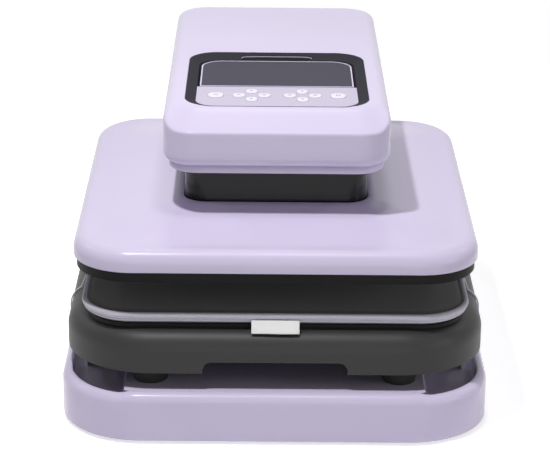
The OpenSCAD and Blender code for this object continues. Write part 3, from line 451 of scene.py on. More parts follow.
class Effects:
    """Shader node groups that several finishes share."""

    def __init__(self) -> None:
        """Builds each group once."""
        self.grain = self.build_grain()
        self.scuff = self.build_scuff()
        self.brush = self.build_brush()
        self.weave = self.build_weave()

    @staticmethod
    def build_grain() -> Tree:
        """Moulded surface: a slow change of tone and a fine spark-eroded grain, both noise."""
        group, wiring, source, sink = new_group(
            "moulded_grain",
            [("Vector", "NodeSocketVector", None), ("Tone Scale", "NodeSocketFloat", 8.0),
             ("Grain Scale", "NodeSocketFloat", 1500.0)],
            ["Tone", "Grain"])
        vector = source.outputs["Vector"]
        wiring.feed(sink, Tone=wiring.noise(vector, source.outputs["Tone Scale"], 3.0),
                    Grain=wiring.noise(vector, source.outputs["Grain Scale"]))
        return group

    @staticmethod
    def build_scuff() -> Tree:
        """Handling marks: thin stretched noise, kept only in patches of a slower noise."""
        group, wiring, source, sink = new_group(
            "handling_scuff",
            [("Vector", "NodeSocketVector", None), ("Scale", "NodeSocketFloat", 30.0)],
            ["Scuff"])
        vector = source.outputs["Vector"]
        stretch = wiring.feed(wiring.add("ShaderNodeMapping"), Vector=vector, Scale=(1.0, 9.0, 3.0),
                              Rotation=(0.3, 0.2, 0.6))
        lines = wiring.noise(stretch.outputs[0], source.outputs["Scale"], 4.0)
        sharp = wiring.calc("SMOOTH_MIN", wiring.over(lines, 0.56, 6.0), 1.0)
        place = wiring.over(wiring.noise(vector, 9.0), 0.45, 3.0)
        wiring.feed(sink, Scuff=wiring.calc("MULTIPLY", sharp, place))
        return group

    @staticmethod
    def build_brush() -> Tree:
        """Brushed metal: noise drawn out along one axis by the Stretch input."""
        group, wiring, source, sink = new_group(
            "brushed_lines",
            [("Vector", "NodeSocketVector", None), ("Stretch", "NodeSocketVector", (1.0, 40.0, 40.0)),
             ("Scale", "NodeSocketFloat", 40.0)],
            ["Line"])
        scaled = wiring.add("ShaderNodeVectorMath", operation="MULTIPLY")
        wiring.join(source.outputs["Vector"], scaled.inputs[0])
        wiring.join(source.outputs["Stretch"], scaled.inputs[1])
        wiring.feed(sink, Line=wiring.noise(scaled.outputs[0], source.outputs["Scale"], 3.0))
        return group

    @staticmethod
    def build_weave() -> Tree:
        """Plain weave: half plus half the product of two sines across the threads."""
        group, wiring, source, sink = new_group(
            "plain_weave",
            [("Vector", "NodeSocketVector", None), ("Threads", "NodeSocketFloat", 900.0)],
            ["Thread", "Fuzz"])
        vector = source.outputs["Vector"]
        parts = wiring.feed(wiring.add("ShaderNodeSeparateXYZ"), Vector=vector)
        rate = wiring.calc("MULTIPLY", source.outputs["Threads"], math.tau)
        waves = [wiring.calc("SINE", wiring.calc("MULTIPLY", part, rate)) for part in parts.outputs[:2]]
        product = wiring.calc("MULTIPLY", waves[0], waves[1])
        thread = wiring.calc("ADD", wiring.calc("MULTIPLY", product, 0.5), 0.5)
        wiring.feed(sink, Thread=thread, Fuzz=wiring.noise(vector, 260.0, 4.0))
        return group


@dataclass(frozen=True)
class Finish:
    """Common ground of all finishes: a name, a colour and how the surface is set up."""

    name: str
    colour: Colour
    rough: float

    def start(self) -> tuple[bpy.types.Material, Wiring, Node]:
        """New material with its Principled shader.

        Returns:
            The material, its wiring and the shader.
        """
        material = bpy.data.materials.new(self.name)
        material.use_nodes = True
        material.diffuse_color = self.colour
        wiring = Wiring(material.node_tree)
        return material, wiring, wiring.find("BSDF_PRINCIPLED")

    def place(self, wiring: Wiring, group: Tree, source: Coordinates,
              **values: object) -> Node:
        """Places a shared effect with its own values.

        Args:
            wiring: Wiring of the material.
            group: The effect.
            source: Coordinates that feed the effect.
            values: Values of the effect's inputs, with underscores for spaces.

        Returns:
            The group node.
        """
        coordinates = wiring.add("ShaderNodeTexCoord")
        node = wiring.add("ShaderNodeGroup", node_tree=group)
        return wiring.feed(node, Vector=coordinates.outputs[source.value], **values)

    def bump(self, wiring: Wiring, shader: Node, height: Socket,
             strength: float, distance: float) -> None:
        """Feeds a height to the shader's normal.

        Args:
            wiring: Wiring of the material.
            shader: The Principled shader.
            height: Height from 0 to 1.
            strength: Strength of the bump.
            distance: Depth of the bump in metres.
        """
        node = wiring.feed(wiring.add("ShaderNodeBump"), Strength=strength, Distance=distance, Height=height)
        wiring.feed(shader, Normal=node.outputs[0])


@dataclass(frozen=True)
class Plastic(Finish):
    """Moulded plastic: slow tone change, fine grain, handling scuffs, and a clear coat if glossy."""

    grain_scale: float = 1500.0
    grain_depth: float = 0.00004
    tone: float = 0.02
    coat: float = 0.0
    specular: float = 0.5
    glow: float = 0.0

    def build(self, effects: Effects) -> bpy.types.Material:
        """Builds the material from the shared effects."""
        material, wiring, shader = self.start()
        grain = self.place(wiring, effects.grain, Coordinates.OBJECT, Grain_Scale=self.grain_scale)
        scuff = self.place(wiring, effects.scuff, Coordinates.OBJECT)
        colour = wiring.blend(grain.outputs["Tone"], toned(self.colour, 1.0 - self.tone),
                              toned(self.colour, 1.0 + self.tone))
        rough = wiring.spread(grain.outputs["Tone"], self.rough * 0.92, self.rough * 1.08)
        worn = wiring.calc("ADD", rough, wiring.calc("MULTIPLY", scuff.outputs["Scuff"], 0.06))
        self.bump(wiring, shader, grain.outputs["Grain"], 0.35, self.grain_depth)
        wiring.feed(shader, Base_Color=colour, Roughness=worn, Specular_IOR_Level=self.specular,
                    Coat_Weight=self.coat, Coat_Roughness=0.06, Subsurface_Weight=self.glow,
                    Subsurface_Scale=0.002)
        return material


@dataclass(frozen=True)
class Metal(Finish):
    """Brushed or turned metal: drawn-out lines in the roughness, with scuffs."""

    stretch: tuple[float, float, float] = (1.0, 40.0, 40.0)

    def build(self, effects: Effects) -> bpy.types.Material:
        """Builds the material from the shared effects."""
        material, wiring, shader = self.start()
        brush = self.place(wiring, effects.brush, Coordinates.OBJECT, Stretch=self.stretch)
        scuff = self.place(wiring, effects.scuff, Coordinates.OBJECT)
        line = brush.outputs["Line"]
        colour = wiring.blend(line, toned(self.colour, 0.9), toned(self.colour, 1.08))
        rough = wiring.spread(line, self.rough * 0.75, self.rough * 1.25)
        worn = wiring.calc("ADD", rough, wiring.calc("MULTIPLY", scuff.outputs["Scuff"], 0.12))
        wiring.feed(shader, Base_Color=colour, Roughness=worn, Metallic=1.0)
        self.bump(wiring, shader, line, 0.2, 0.00004)
        return material


@dataclass(frozen=True)
class Cloth(Finish):
    """Woven cloth: threads and fuzz in colour, roughness and height, with a soft sheen."""

    threads: float = 700.0
    depth: float = 0.00025
    contrast: float = 0.2
    sheen: float = 0.3
    source: Coordinates = Coordinates.OBJECT

    def build(self, effects: Effects) -> bpy.types.Material:
        """Builds the material from the shared effects."""
        material, wiring, shader = self.start()
        weave = self.place(wiring, effects.weave, self.source, Threads=self.threads)
        thread = weave.outputs["Thread"]
        shade = wiring.calc("ADD", wiring.calc("MULTIPLY", thread, 0.6),
                            wiring.calc("MULTIPLY", weave.outputs["Fuzz"], 0.4))
        colour = wiring.blend(shade, toned(self.colour, 1.0 - self.contrast),
                              toned(self.colour, 1.0 + self.contrast))
        rough = wiring.spread(shade, self.rough, min(self.rough + 0.12, 1.0))
        self.bump(wiring, shader, shade, 0.5, self.depth)
        wiring.feed(shader, Base_Color=colour, Roughness=rough, Sheen_Weight=self.sheen, Sheen_Roughness=0.5)
        return material


class Paintbox:
    """Builds one material for each slot of the record."""

    FINISHES = {
        Slot.LILAC: Plastic("lilac_plastic", linear(211, 202, 229), 0.22, specular=0.2),
        Slot.CHARCOAL: Plastic("charcoal_plastic", linear(48, 47, 47), 0.48, 1100.0, 0.00009, 0.06,
                               specular=0.3),
        Slot.BLACK: Plastic("black_plastic", linear(20, 19, 20), 0.5, 1300.0, 0.00006, 0.08,
                            specular=0.12),
        Slot.NECK_GLOSS: Plastic("glossy_neck", linear(24, 22, 26), 0.1, 1800.0, 0.000002, 0.06,
                                 specular=0.24),
        Slot.STEEL: Metal("brushed_steel", linear(176, 178, 182), 0.34),
        Slot.HEAT_COAT: Plastic("heat_plate_coat", linear(66, 66, 68), 0.48, 700.0, 0.00008, 0.12),
        Slot.RUBBER: Plastic("foot_rubber", linear(36, 36, 37), 0.78, 600.0, 0.0001, 0.08, specular=0.3),
        Slot.PAD_FABRIC: Cloth("pad_cloth", linear(82, 79, 82), 0.85, 520.0, sheen=0.3),
        Slot.BINDING_FABRIC: Cloth("binding_tape", linear(197, 193, 207), 0.8, 900.0, 0.0002, 0.12,
                                   source=Coordinates.UV),
        Slot.TAG_FABRIC: Cloth("tag_cloth", linear(240, 240, 240), 0.8, 1500.0, 0.0001, 0.05),
        Slot.ELASTIC: Cloth("elastic_cord", linear(210, 206, 220), 0.75, 1200.0, 0.0002, 0.15),
        Slot.BRASS: Metal("turned_brass", linear(205, 172, 104), 0.3, (40.0, 40.0, 1.0)),
        Slot.WINDOW: Plastic("display_window", linear(71, 69, 82), 0.4, 2200.0, 0.000004, 0.03,
                             specular=0.02),
        Slot.BUTTON: Plastic("button_caps", linear(229, 225, 238), 0.3, 1600.0, 0.00002, 0.01, glow=0.1),
        Slot.BOARD: Plastic("circuit_board", linear(34, 92, 62), 0.4, 900.0, 0.00004, 0.2),
        Slot.CERAMIC: Plastic("ceramic", linear(232, 228, 216), 0.3, 1200.0, 0.00002, 0.02, coat=0.3),
        Slot.INSULATION: Cloth("insulation_board", linear(226, 220, 204), 0.9, 260.0, 0.0003, 0.08, 0.1),
        Slot.NYLON: Plastic("gear_nylon", linear(230, 226, 214), 0.45, 1300.0, 0.00003, 0.03, glow=0.15),
    }

    CONSOLE = Plastic("console_charcoal", linear(51, 51, 57), 0.6, 1100.0, 0.00006, 0.05, specular=0.02)
    # Print on the buttons, and a painted highlight where it dresses the bead along the finger recess.
    MARK_AND_HIGHLIGHT = Plastic("button_mark", linear(168, 164, 182), 0.5, specular=0.1)
    # Painted shade: a darker copy of the lilac for the button panel, so the panel reads dimmer than the head
    # around it.
    SHADED_PANEL = Plastic("button_panel_painted_shade", linear(196, 188, 210), 0.35, specular=0.15)

    def __init__(self) -> None:
        """Builds the shared effects and every finish."""
        self.effects = Effects()
        self.materials = {slot: finish.build(self.effects) for slot, finish in self.FINISHES.items()}
        self.console = self.CONSOLE.build(self.effects)
        self.mark = self.MARK_AND_HIGHLIGHT.build(self.effects)
        self.panel = self.SHADED_PANEL.build(self.effects)

    def dress(self, piece: Piece, slot: Slot,
              variant: Optional[bpy.types.Material] = None) -> Piece:
        """Gives a piece the finish of a slot, or a variant of it.

        Args:
            piece: The piece to dress.
            slot: Its slot in the record.
            variant: Finish to use instead of the slot's own.

        Returns:
            The piece.
        """
        piece.data.materials.clear()
        piece.data.materials.append(variant or self.materials[slot])
        return piece


# Sub-assemblies


@dataclass
class HeadShell:
    """Upper shell of the head: upright walls, rolled sides, a chamfered front and a console opening."""

    half: float = 112.0
    front: float = -142.0
    rear: float = 303.0
    corner: float = 30.0
    low: float = 260.5
    top: float = 313.0
    crease: float = 296.0
    bevel: float = 34.0
    side_edge: float = 12.0
    top_corner: float = 24.0
    well_half: float = 92.6
    well_front: float = -107.1
    well_rear: float = 96.7
    well_corner: float = 31.1
    well_depth: float = 9.0
    lip: float = 0.8
    foot_roll: float = 9.0
    tuck: float = 3.0

    @staticmethod
    def side_profile(count: int) -> Array:
        """Quarter circle from the wall to the top, as shares of the edge's run and rise."""
        turn = quarter(count)
        return np.column_stack([1.0 - np.cos(turn), np.sin(turn)])

    @staticmethod
    def front_profile(count: int) -> Array:
        """Flat chamfer with a tight curve at the crease and a softer one at the top, as shares.

        Each curve is a quadratic one: (1-t)^2 of its start, 2t(1-t) of its corner and t^2 of its end.
        """
        bend = (count - 4) // 2
        share = np.linspace(0.0, 1.0, bend)[:, None]
        crease_end = 0.06
        flat_end = 0.7
        steepness = 1.1

        def curve(first: Sequence[float], corner: Sequence[float], last: Sequence[float]) -> Array:
            """One rounded corner of the chamfer."""
            return ((1.0 - share) ** 2 * np.array(first) + 2.0 * share * (1.0 - share) * np.array(corner)
                    + share ** 2 * np.array(last))

        flat = np.linspace(crease_end, flat_end, count - 2 * bend + 2)[1:-1, None] * [[1.0, steepness]]
        return np.concatenate([curve((0.0, -0.12), (0.0, 0.0), (crease_end, crease_end * steepness)), flat,
                               curve((flat_end, flat_end * steepness), (0.91, 1.0), (1.03, 1.0))])

    def build(self, paint: Paintbox) -> Piece:
        """Lofts the shell: rolled foot, wall, an edge from roll to chamfer, top and the opening's lip.

        Args:
            paint: Finishes by slot.

        Returns:
            The shell.
        """
        outline = Outline(self.half, self.front, self.rear, self.corner).sample()
        points, normals = outline
        crown = Outline(self.half - self.side_edge, self.front + self.bevel, self.rear - self.side_edge,
                        self.top_corner).sample()[0]
        facing = smooth_step(-normals[:, 1], 0.0, 0.9)
        shoulder = self.top - self.side_edge + (self.crease - self.top + self.side_edge) * facing
        foot = self.low + self.foot_roll
        rings = [ring(points - (self.foot_roll + self.tuck) * normals, self.low)]
        rings += foot_roll(outline, self.low, self.foot_roll, 8)
        rings += [ring(points, foot + share * (shoulder - foot)) for share in (0.3, 0.6, 0.85)]
        count = 16
        for side, front in zip(self.side_profile(count), self.front_profile(count)):
            run, rise = (side[:, None] + (front - side)[:, None] * facing)
            plan = points + run[:, None] * (crown - points)
            rings.append(ring(plan, shoulder + rise * (self.top - shoulder)))
        start = rings[-1][:, :2]
        well = Outline(self.well_half, self.well_front, self.well_rear, self.well_corner).sample()
        for share in np.linspace(0.0, 1.0, 9)[1:]:
            rings.append(ring((1.0 - share) * start + share * well[0], self.top))
        rings += mouth_roll(well, self.top, self.lip, 4)
        rings.append(ring(well[0] - self.lip * well[1], self.top - self.well_depth))
        shell = loft("head_shell_skin", rings)
        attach(shell, Body.BASE.value)
        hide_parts("head_upper_shell")
        return paint.dress(shell, Slot.LILAC)


@dataclass
class HeadLip:
    """Lower cover of the head: a band set in under the shell, and an underside open to the neck."""

    half: float = 106.5
    front: float = -136.5
    rear: float = 297.5
    corner: float = 30.0
    low: float = 253.0
    top: float = 261.0
    roll: float = 1.6
    tuck: float = 3.0
    neck_half: float = 92.0
    neck_depth: float = 106.5
    neck_corner: float = 22.5

    def build(self, paint: Paintbox) -> Piece:
        """Lofts the lip: underside from the neck's outline to the edge, a quarter round and the band.

        Args:
            paint: Finishes by slot.

        Returns:
            The lip.
        """
        outline = Outline(self.half, self.front, self.rear, self.corner).sample()
        points, normals = outline
        neck = Outline(self.neck_half, -self.neck_depth, self.neck_depth, self.neck_corner).sample()[0]
        edge = points - self.roll * normals
        shares = np.linspace(0.0, 1.0, 7)
        rings = [ring((1.0 - share) * neck + share * edge, self.low) for share in shares]
        rings += foot_roll(outline, self.low, self.roll, 6)[1:]
        rings += [ring(points, self.top), ring(points - self.tuck * normals, self.top)]
        lip = loft("head_lip_skin", rings)
        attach(lip, Body.BASE.value)
        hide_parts("head_lower_cover")
        return paint.dress(lip, Slot.LILAC)


@dataclass
class ConsoleWell:
    """Sunk charcoal border of the console with a finger scoop behind the display."""

    half: float = 91.5
    front: float = -106.0
    rear: float = 95.6
    corner: float = 30.0
    run: float = 10.0
    drop: float = 3.0
    top: float = 313.0
    floor: float = 303.0
    pocket_rear: float = 74.4
    scoop_half: float = 38.0
    scoop_drop: float = 3.6
    scoop_ease: float = 7.0
    step_in: float = 0.3
    step_down: float = 0.4
    bead: float = 0.6
    bead_half: float = 37.0
    bead_depth: float = 9.0
    bead_drop: float = 1.6
    bead_power: float = 0.4

    def build(self, paint: Paintbox) -> Piece:
        """Lofts the sloped border from the head's edge down, with the scoop's ramp, wall and floor.

        Args:
            paint: Finishes by slot.

        Returns:
            The border.
        """
        steps = (14, 70)
        outer, normals = Outline(self.half, self.front, self.rear, self.corner, *steps).sample()
        inner = Outline(self.half - self.run, self.front + self.run, self.pocket_rear,
                        self.corner - self.run, *steps).sample()[0]
        behind = smooth_step(normals[:, 1], 0.6, 0.95)
        ease = smooth_step(np.abs(inner[:, 0]), self.scoop_half - self.scoop_ease, self.scoop_half)
        scoop = behind * (1.0 - ease)
        rings = []
        for share in np.linspace(0.0, 1.0, 14):
            slope = 0.6 * share + 0.4 * float(smooth_step(np.array(share), 0.0, 1.0))
            ramp = float(smooth_step(np.array(share), 0.15, 0.8))
            rings.append(ring(outer + share * (inner - outer),
                              self.top - self.drop * slope - self.scoop_drop * scoop * ramp))
        wall = inner - self.step_in * normals
        rings += [ring(wall, rings[-1][:, 2] - self.step_down), ring(wall, self.floor)]
        well = loft("console_well", rings, capped=True)
        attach(well, Body.BASE.value)
        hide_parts("console_bezel")
        return paint.dress(well, Slot.CHARCOAL, paint.console)

    def build_highlight_bead(self, paint: Paintbox) -> Piece:
        """Carries a thin round bead along the finger recess: half a superellipse, swept by a circle. Its
        pale colour is a painted highlight.
        """
        turn = np.linspace(0.02, np.pi - 0.02, 61)
        cosine = np.cos(turn)
        across = self.bead_half * np.sign(cosine) * np.abs(cosine) ** self.bead_power
        along = self.pocket_rear + self.bead_depth * np.sin(turn) ** self.bead_power
        path = np.column_stack([across, along, np.full(len(turn), self.top - self.bead_drop)])
        tangent = np.gradient(path, axis=0)
        side = np.column_stack([-tangent[:, 1], tangent[:, 0], np.zeros(len(turn))])
        side /= np.linalg.norm(side, axis=1, keepdims=True)
        round_turn = np.linspace(0.0, math.tau, 9)[:-1]
        grid = (path[:, None, :] + self.bead * np.cos(round_turn)[None, :, None] * side[:, None, :]
                + self.bead * np.sin(round_turn)[None, :, None] * np.array([0.0, 0.0, 1.0]))
        faces = quads(len(turn), len(round_turn), True)
        bead = mesh_object("finger_recess_highlight_bead", grid.reshape(-1, 3), faces)
        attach(bead, Body.BASE.value)
        # Pale mark colour on a charcoal bead: painted highlight along the rim of the finger scoop.
        return paint.dress(bead, Slot.CHARCOAL, paint.mark)


@dataclass
class PlatenCover:
    """Cover of the heat plate: a rolled brim, a little higher behind, and a top rising to the neck."""

    half: float = 200.0
    rear: float = 245.0
    corner: float = 60.0
    low: float = 172.0
    brim: float = 193.5
    tilt: float = 3.0
    top: float = 214.0
    edge: float = 14.0
    opening_half: float = 93.3
    opening_depth: float = 107.8
    opening_corner: float = 23.8
    lip: float = 0.8
    wall: float = 3.0
    hem: float = 2.0

    def rise(self, shares: Array) -> Array:
        """Share of the way from brim to top: the running sum of a slope that eases in and out."""
        total = np.cumsum(smooth_step(shares, 0.0, 0.2) * (1.0 - smooth_step(shares, 0.85, 1.0)))
        return total / total[-1]

    def build(self, paint: Paintbox) -> Piece:
        """Lofts the cover: lower lip, wall, quarter-round edge, rising top and the opening's rim.

        Args:
            paint: Finishes by slot.

        Returns:
            The cover.
        """
        steps = (20, 30)
        outline = Outline(self.half, -self.half, self.rear, self.corner, *steps).sample()
        points, normals = outline
        rings = [ring(points - self.wall * normals, self.low + rise) for rise in (self.hem, 0.0)]
        rings += foot_roll(outline, self.low, self.lip, 4)
        brim = self.brim + self.tilt * (points[:, 1] + self.half) / (self.rear + self.half)
        shoulder = brim - self.edge
        rings.append(ring(points, (self.low + shoulder) / 2))
        rings += edge_roll(outline, shoulder, self.edge, 15)
        start = points - self.edge * normals
        mouth = Outline(self.opening_half, -self.opening_depth, self.opening_depth,
                        self.opening_corner, *steps).sample()
        shares = np.linspace(0.0, 1.0, 41)
        for share, rise in zip(shares[1:], self.rise(shares)[1:]):
            plan = (1.0 - share) * start + share * mouth[0]
            rings.append(ring(plan, brim + rise * (self.top - brim)))
        rings += mouth_roll(mouth, self.top, self.lip, 4)
        rings.append(ring(mouth[0] - self.lip * mouth[1], self.top - self.wall))
        cover = loft("platen_cover_skin", rings)
        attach(cover, Body.PLATEN.value)
        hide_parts("platen_cover")
        return paint.dress(cover, Slot.LILAC)


@dataclass
class BaseShell:
    """Moulded base: skirt with a rolled rim, raised middle deck and two sunk side channels."""

    half: float = 213.5
    front: float = -220.0
    rear: float = 305.0
    corner: float = 82.0
    low: float = 3.0
    rim: float = 50.0
    deck: float = 52.5
    deck_half: float = 148.0
    channel: float = 42.0
    edge: float = 9.0
    rim_width: float = 10.0
    foot_edge: float = 2.0
    underside: float = 8.0
    inner_edge: float = 1.0
    step: float = 2.0
    shoulder_in: float = 0.5
    shoulder_out: float = 2.5
    floor_rows: int = 30

    def rim_height(self, plan: Array) -> Array:
        """Rim height: the deck's in the middle, the lower rim's beside it, with a short smooth step."""
        beside = smooth_step(np.abs(plan[:, 0]), self.deck_half - self.step, self.deck_half + self.step)
        return self.rim + (self.deck - self.rim) * (1.0 - beside)

    def floor_height(self, across: Array) -> Array:
        """Height across the deck and channels: a rounded shoulder from the deck down to the channel."""
        beside = smooth_step(np.abs(across), self.deck_half - self.shoulder_in,
                             self.deck_half + self.shoulder_out)
        return self.channel + (self.deck - self.channel) * (1.0 - beside)

    def build(self, paint: Paintbox) -> Piece:
        """Lofts the skirt and rim, and lays the deck and channels inside as a grid.

        Args:
            paint: Finishes by slot.

        Returns:
            The base.
        """
        outline = Outline(self.half, self.front, self.rear, self.corner, 20, 60).sample()
        points, normals = outline
        rings = [ring(points - self.underside * normals, self.low)]
        rings += foot_roll(outline, self.low, self.foot_edge, 4)
        shoulder = self.rim_height(points) - self.edge
        rings += [ring(points, self.low + share * (shoulder - self.low)) for share in (0.3, 0.65)]
        for turn in quarter(10):
            plan = points - self.edge * (1.0 - np.cos(turn)) * normals
            rings.append(ring(plan, self.rim_height(plan) - self.edge * (1.0 - np.sin(turn))))
        inner = points - self.rim_width * normals
        bed = np.minimum(self.floor_height(inner[:, 0]), self.rim_height(inner))
        for turn in quarter(4)[1:]:
            plan = inner + self.inner_edge * (1.0 - np.sin(turn)) * normals
            drop = np.minimum(self.inner_edge * (1.0 - np.cos(turn)), self.rim_height(plan) - bed)
            rings.append(ring(plan, self.rim_height(plan) - drop))
        rings.append(ring(inner, bed))
        faces = quads(len(rings), len(points), True).tolist()
        skirt = np.concatenate(rings)
        reach = self.half - self.rim_width
        fine = np.linspace(-3.0, 4.0, 12)
        side = np.concatenate([np.linspace(0.0, self.deck_half - 4.0, 12), self.deck_half + fine,
                               np.linspace(self.deck_half + 5.0, reach, 24)])
        across = np.concatenate([-side[:0:-1], side])
        radius = self.corner - self.rim_width
        past = np.clip(np.abs(across) - (reach - radius), 0.0, radius)
        sweep = radius - np.sqrt(radius * radius - past * past)
        share = np.linspace(0.0, 1.0, self.floor_rows)[:, None]
        first = self.front + self.rim_width + sweep
        last = self.rear - self.rim_width - sweep
        along = first * (1.0 - share) + last * share
        height = self.floor_height(across)
        floor = np.stack(np.broadcast_arrays(across, along, height), axis=-1).reshape(-1, 3)
        faces += (quads(self.floor_rows, len(across), False) + len(skirt)).tolist()
        base = mesh_object("base_shell_skin", np.concatenate([skirt, floor]), faces)
        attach(base, Body.BASE.value)
        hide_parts("base_shell")
        return paint.dress(base, Slot.LILAC)


@dataclass
class PressPad:
    """Heat-proof pad on the drawer: a crowned cushion, a piped binding round it and a blank sewn tag."""

    half: float = 187.6
    corner: float = 46.6
    low: float = 115.2
    top: float = 129.3
    crown: float = 1.2
    roll: float = 3.2
    roll_out: float = 1.9
    roll_height: float = 124.1
    band: float = 1.6
    band_out: float = 1.6
    band_height: float = 119.7
    tag_width: float = 47.0
    tag_length: float = 13.5
    tag_top: float = 121.4
    tag_start: float = -193.3
    tag_out: float = 0.51
    tag_down: float = 0.85
    tag_thick: float = 0.0006
    core_inset: float = 44.0
    dent: float = 0.15
    seam_in: float = -2.0

    def cushion_height(self, plan: Array) -> Array:
        """Top of the cushion: a shallow paraboloid with slow, shallow dents from two crossed waves."""
        reach = (plan / self.half) ** 2
        dents = np.sin(plan[:, 0] / 31.0 + 0.7) * np.sin(plan[:, 1] / 27.0 + 1.9)
        return self.top - 0.5 * self.crown * (reach[:, 0] + reach[:, 1]) + self.dent * dents - self.dent

    def build_cushion(self, paint: Paintbox) -> Piece:
        """Lofts the cushion: bulging side, rolled upper edge and the crowned top down to one cap."""
        points, normals = Outline(self.half, -self.half, self.half, self.corner, 16, 40).sample()
        side = np.array([[9.0, 0.0], [2.5, 0.1], [0.8, 0.9], [0.1, 3.0], [0.0, 5.5], [0.4, 8.0],
                         [1.6, 10.2], [3.6, 11.7], [6.5, 12.5]])
        rings = [ring(points - inset * normals, self.low + rise) for inset, rise in side]
        edge = rings[-1][:, 2]
        for inset in np.linspace(9.0, self.core_inset, 8):
            plan = points - inset * normals
            share = smooth_step(np.full(len(plan), inset), 6.0, 26.0)
            rings.append(ring(plan, edge + share * (self.cushion_height(plan) - edge)))
        core = points - self.core_inset * normals
        for scale in np.linspace(1.0, 0.03, 18)[1:]:
            plan = core * scale
            rings.append(ring(plan, self.cushion_height(plan)))
        cushion = loft("pad_cushion", rings, capped=True)
        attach(cushion, Body.DRAWER.value)
        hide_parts("press_pad")
        return paint.dress(cushion, Slot.PAD_FABRIC)

    def build_binding(self, paint: Paintbox) -> Piece:
        """Carries the binding's profile round the pad: a fat piping roll, a seam and a lower band."""
        points, normals = Outline(self.half, -self.half, self.half, self.corner, 16, 40).sample()

        def arc(first: float, last: float, count: int, radius: float, middle: Sequence[float]) -> Array:
            """Arc of the profile between two angles in degrees."""
            turn = np.radians(np.linspace(first, last, count))
            return radius * np.column_stack([np.cos(turn), np.sin(turn)]) + middle

        profile = np.concatenate([
            [[self.seam_in, self.roll_height + 1.2]],
            arc(165.0, -70.0, 17, self.roll, (self.roll_out, self.roll_height)),
            arc(50.0, -100.0, 9, self.band, (self.band_out, self.band_height)),
            [[self.seam_in, self.band_height - self.band]]])[::-1]
        rings = [ring(points + out * normals, height) for out, height in profile]
        binding = loft("pad_piping", rings)
        steps = np.linalg.norm(np.diff(profile, axis=0), axis=1)
        sides = np.linalg.norm(np.roll(points, -1, axis=0) - points, axis=1)
        set_strip_uv(binding, np.concatenate([[0.0], np.cumsum(steps)]),
                     np.concatenate([[0.0], np.cumsum(sides)]))
        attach(binding, Body.DRAWER.value)
        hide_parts("pad_binding")
        return paint.dress(binding, Slot.BINDING_FABRIC)

    def build_tag(self, paint: Paintbox) -> Piece:
        """Lays the tag as a grid: it leaves the seam, bows out a little and hangs over the drawer."""
        rows, columns = 13, 25
        across = np.linspace(-0.5, 0.5, columns)[None, :] * self.tag_width
        down = np.linspace(0.0, 1.0, rows)[:, None]
        bow = 0.9 * np.sin(np.pi * down) + 0.35 * down * np.sin(across / 9.0 + 0.6)
        out = self.tag_start - down * self.tag_length * self.tag_out - bow
        height = self.tag_top - down * self.tag_length * self.tag_down
        grid = np.stack(np.broadcast_arrays(across, out, height), axis=-1).reshape(-1, 3)
        tag = mesh_object("pad_tag_cloth", grid, quads(rows, columns, False)[:, ::-1])
        thick = tag.modifiers.new("cloth", "SOLIDIFY")
        thick.thickness = self.tag_thick
        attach(tag, Body.DRAWER.value)
        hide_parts("pad_tag")
        return paint.dress(tag, Slot.TAG_FABRIC)


# Corners, start angle and inner share of the plain mark on each button, by the button's place.
MARKS = {
    "end": (24, 0.0, 0.6),
    "rear": (3, 90.0, 0.1),
    "front": (3, -90.0, 0.1),
    "outer": (4, 45.0, 0.5),
    "inner": (4, 0.0, 0.5),
}


@dataclass
class ButtonCap:
    """One domed push button: a rounded wall, a soft edge and a low dome."""

    node: str
    flange: float = 0.6
    rise: float = 0.25
    edge: float = 0.7
    mark_radius: float = 2.4
    mark_rise: float = 0.03

    def build(self, paint: Paintbox) -> Piece:
        """Lofts the cap over the CAD button's own outline.

        Args:
            paint: Finishes by slot.

        Returns:
            The cap.
        """
        low, high = (np.array(corner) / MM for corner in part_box(self.node))
        half = (high[0] - low[0]) / 2 - self.flange
        depth = (high[1] - low[1]) / 2 - self.flange
        middle = np.array([(low[0] + high[0]) / 2, (low[1] + high[1]) / 2 - PRESS_Y])
        points, normals = Outline(half, -depth, depth, half - 1.0, 8, 6).sample()
        rings = [ring(points + middle, low[2] + 0.1)]
        rings += edge_roll((points + middle, normals), high[2] - self.edge, self.edge, 6)
        core = points - self.edge * normals
        for scale in np.linspace(1.0, 0.05, 7)[1:]:
            rings.append(ring(core * scale + middle, high[2] + self.rise * (1.0 - scale * scale)))
        cap = loft(self.node + "_cap", rings, capped=True)
        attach(cap, frame["nodes"][self.node]["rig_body"])
        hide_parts(self.node)
        self.build_mark(paint, middle, high[2] + self.rise)
        return paint.dress(cap, Slot.BUTTON)

    def build_mark(self, paint: Paintbox, middle: Array, height: float) -> Piece:
        """Lays a plain printed mark on the cap: a flat ring with the corners of its row in MARKS.

        Args:
            paint: Finishes by slot.
            middle: Middle of the cap in plan.
            height: Top of the dome.

        Returns:
            The mark.
        """
        count, start, inner = MARKS[self.node.split("_")[-1]]
        turn = math.radians(start) + np.arange(count) * math.tau / count
        edge = np.column_stack([np.cos(turn), np.sin(turn)]) * self.mark_radius
        rings = [ring(edge * scale + middle, height + self.mark_rise) for scale in (1.0, inner)]
        mark = loft(self.node + "_mark", rings)
        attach(mark, frame["nodes"][self.node]["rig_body"])
        return paint.dress(mark, Slot.BUTTON, paint.mark)


@dataclass
class CadDressing:
    """Finishes for the CAD pieces that stay in view as they are."""

    paint: Paintbox

    def dress(self) -> int:
        """Gives every shown CAD node the finish of its own slot in the record.

        Returns:
            The number of nodes dressed.
        """
        count = 0
        for row in frame["record"]["subparts"]:
            piece = frame["nodes"][row["node"]]
            if piece.hide_render:
                continue
            # The button panel takes the darker lilac copy, which is painted shade.
            variant = self.paint.panel if row["node"] == "button_plate" else None
            self.paint.dress(piece, Slot(row["material_slot"]), variant)
            count += 1
        return count


# Stage


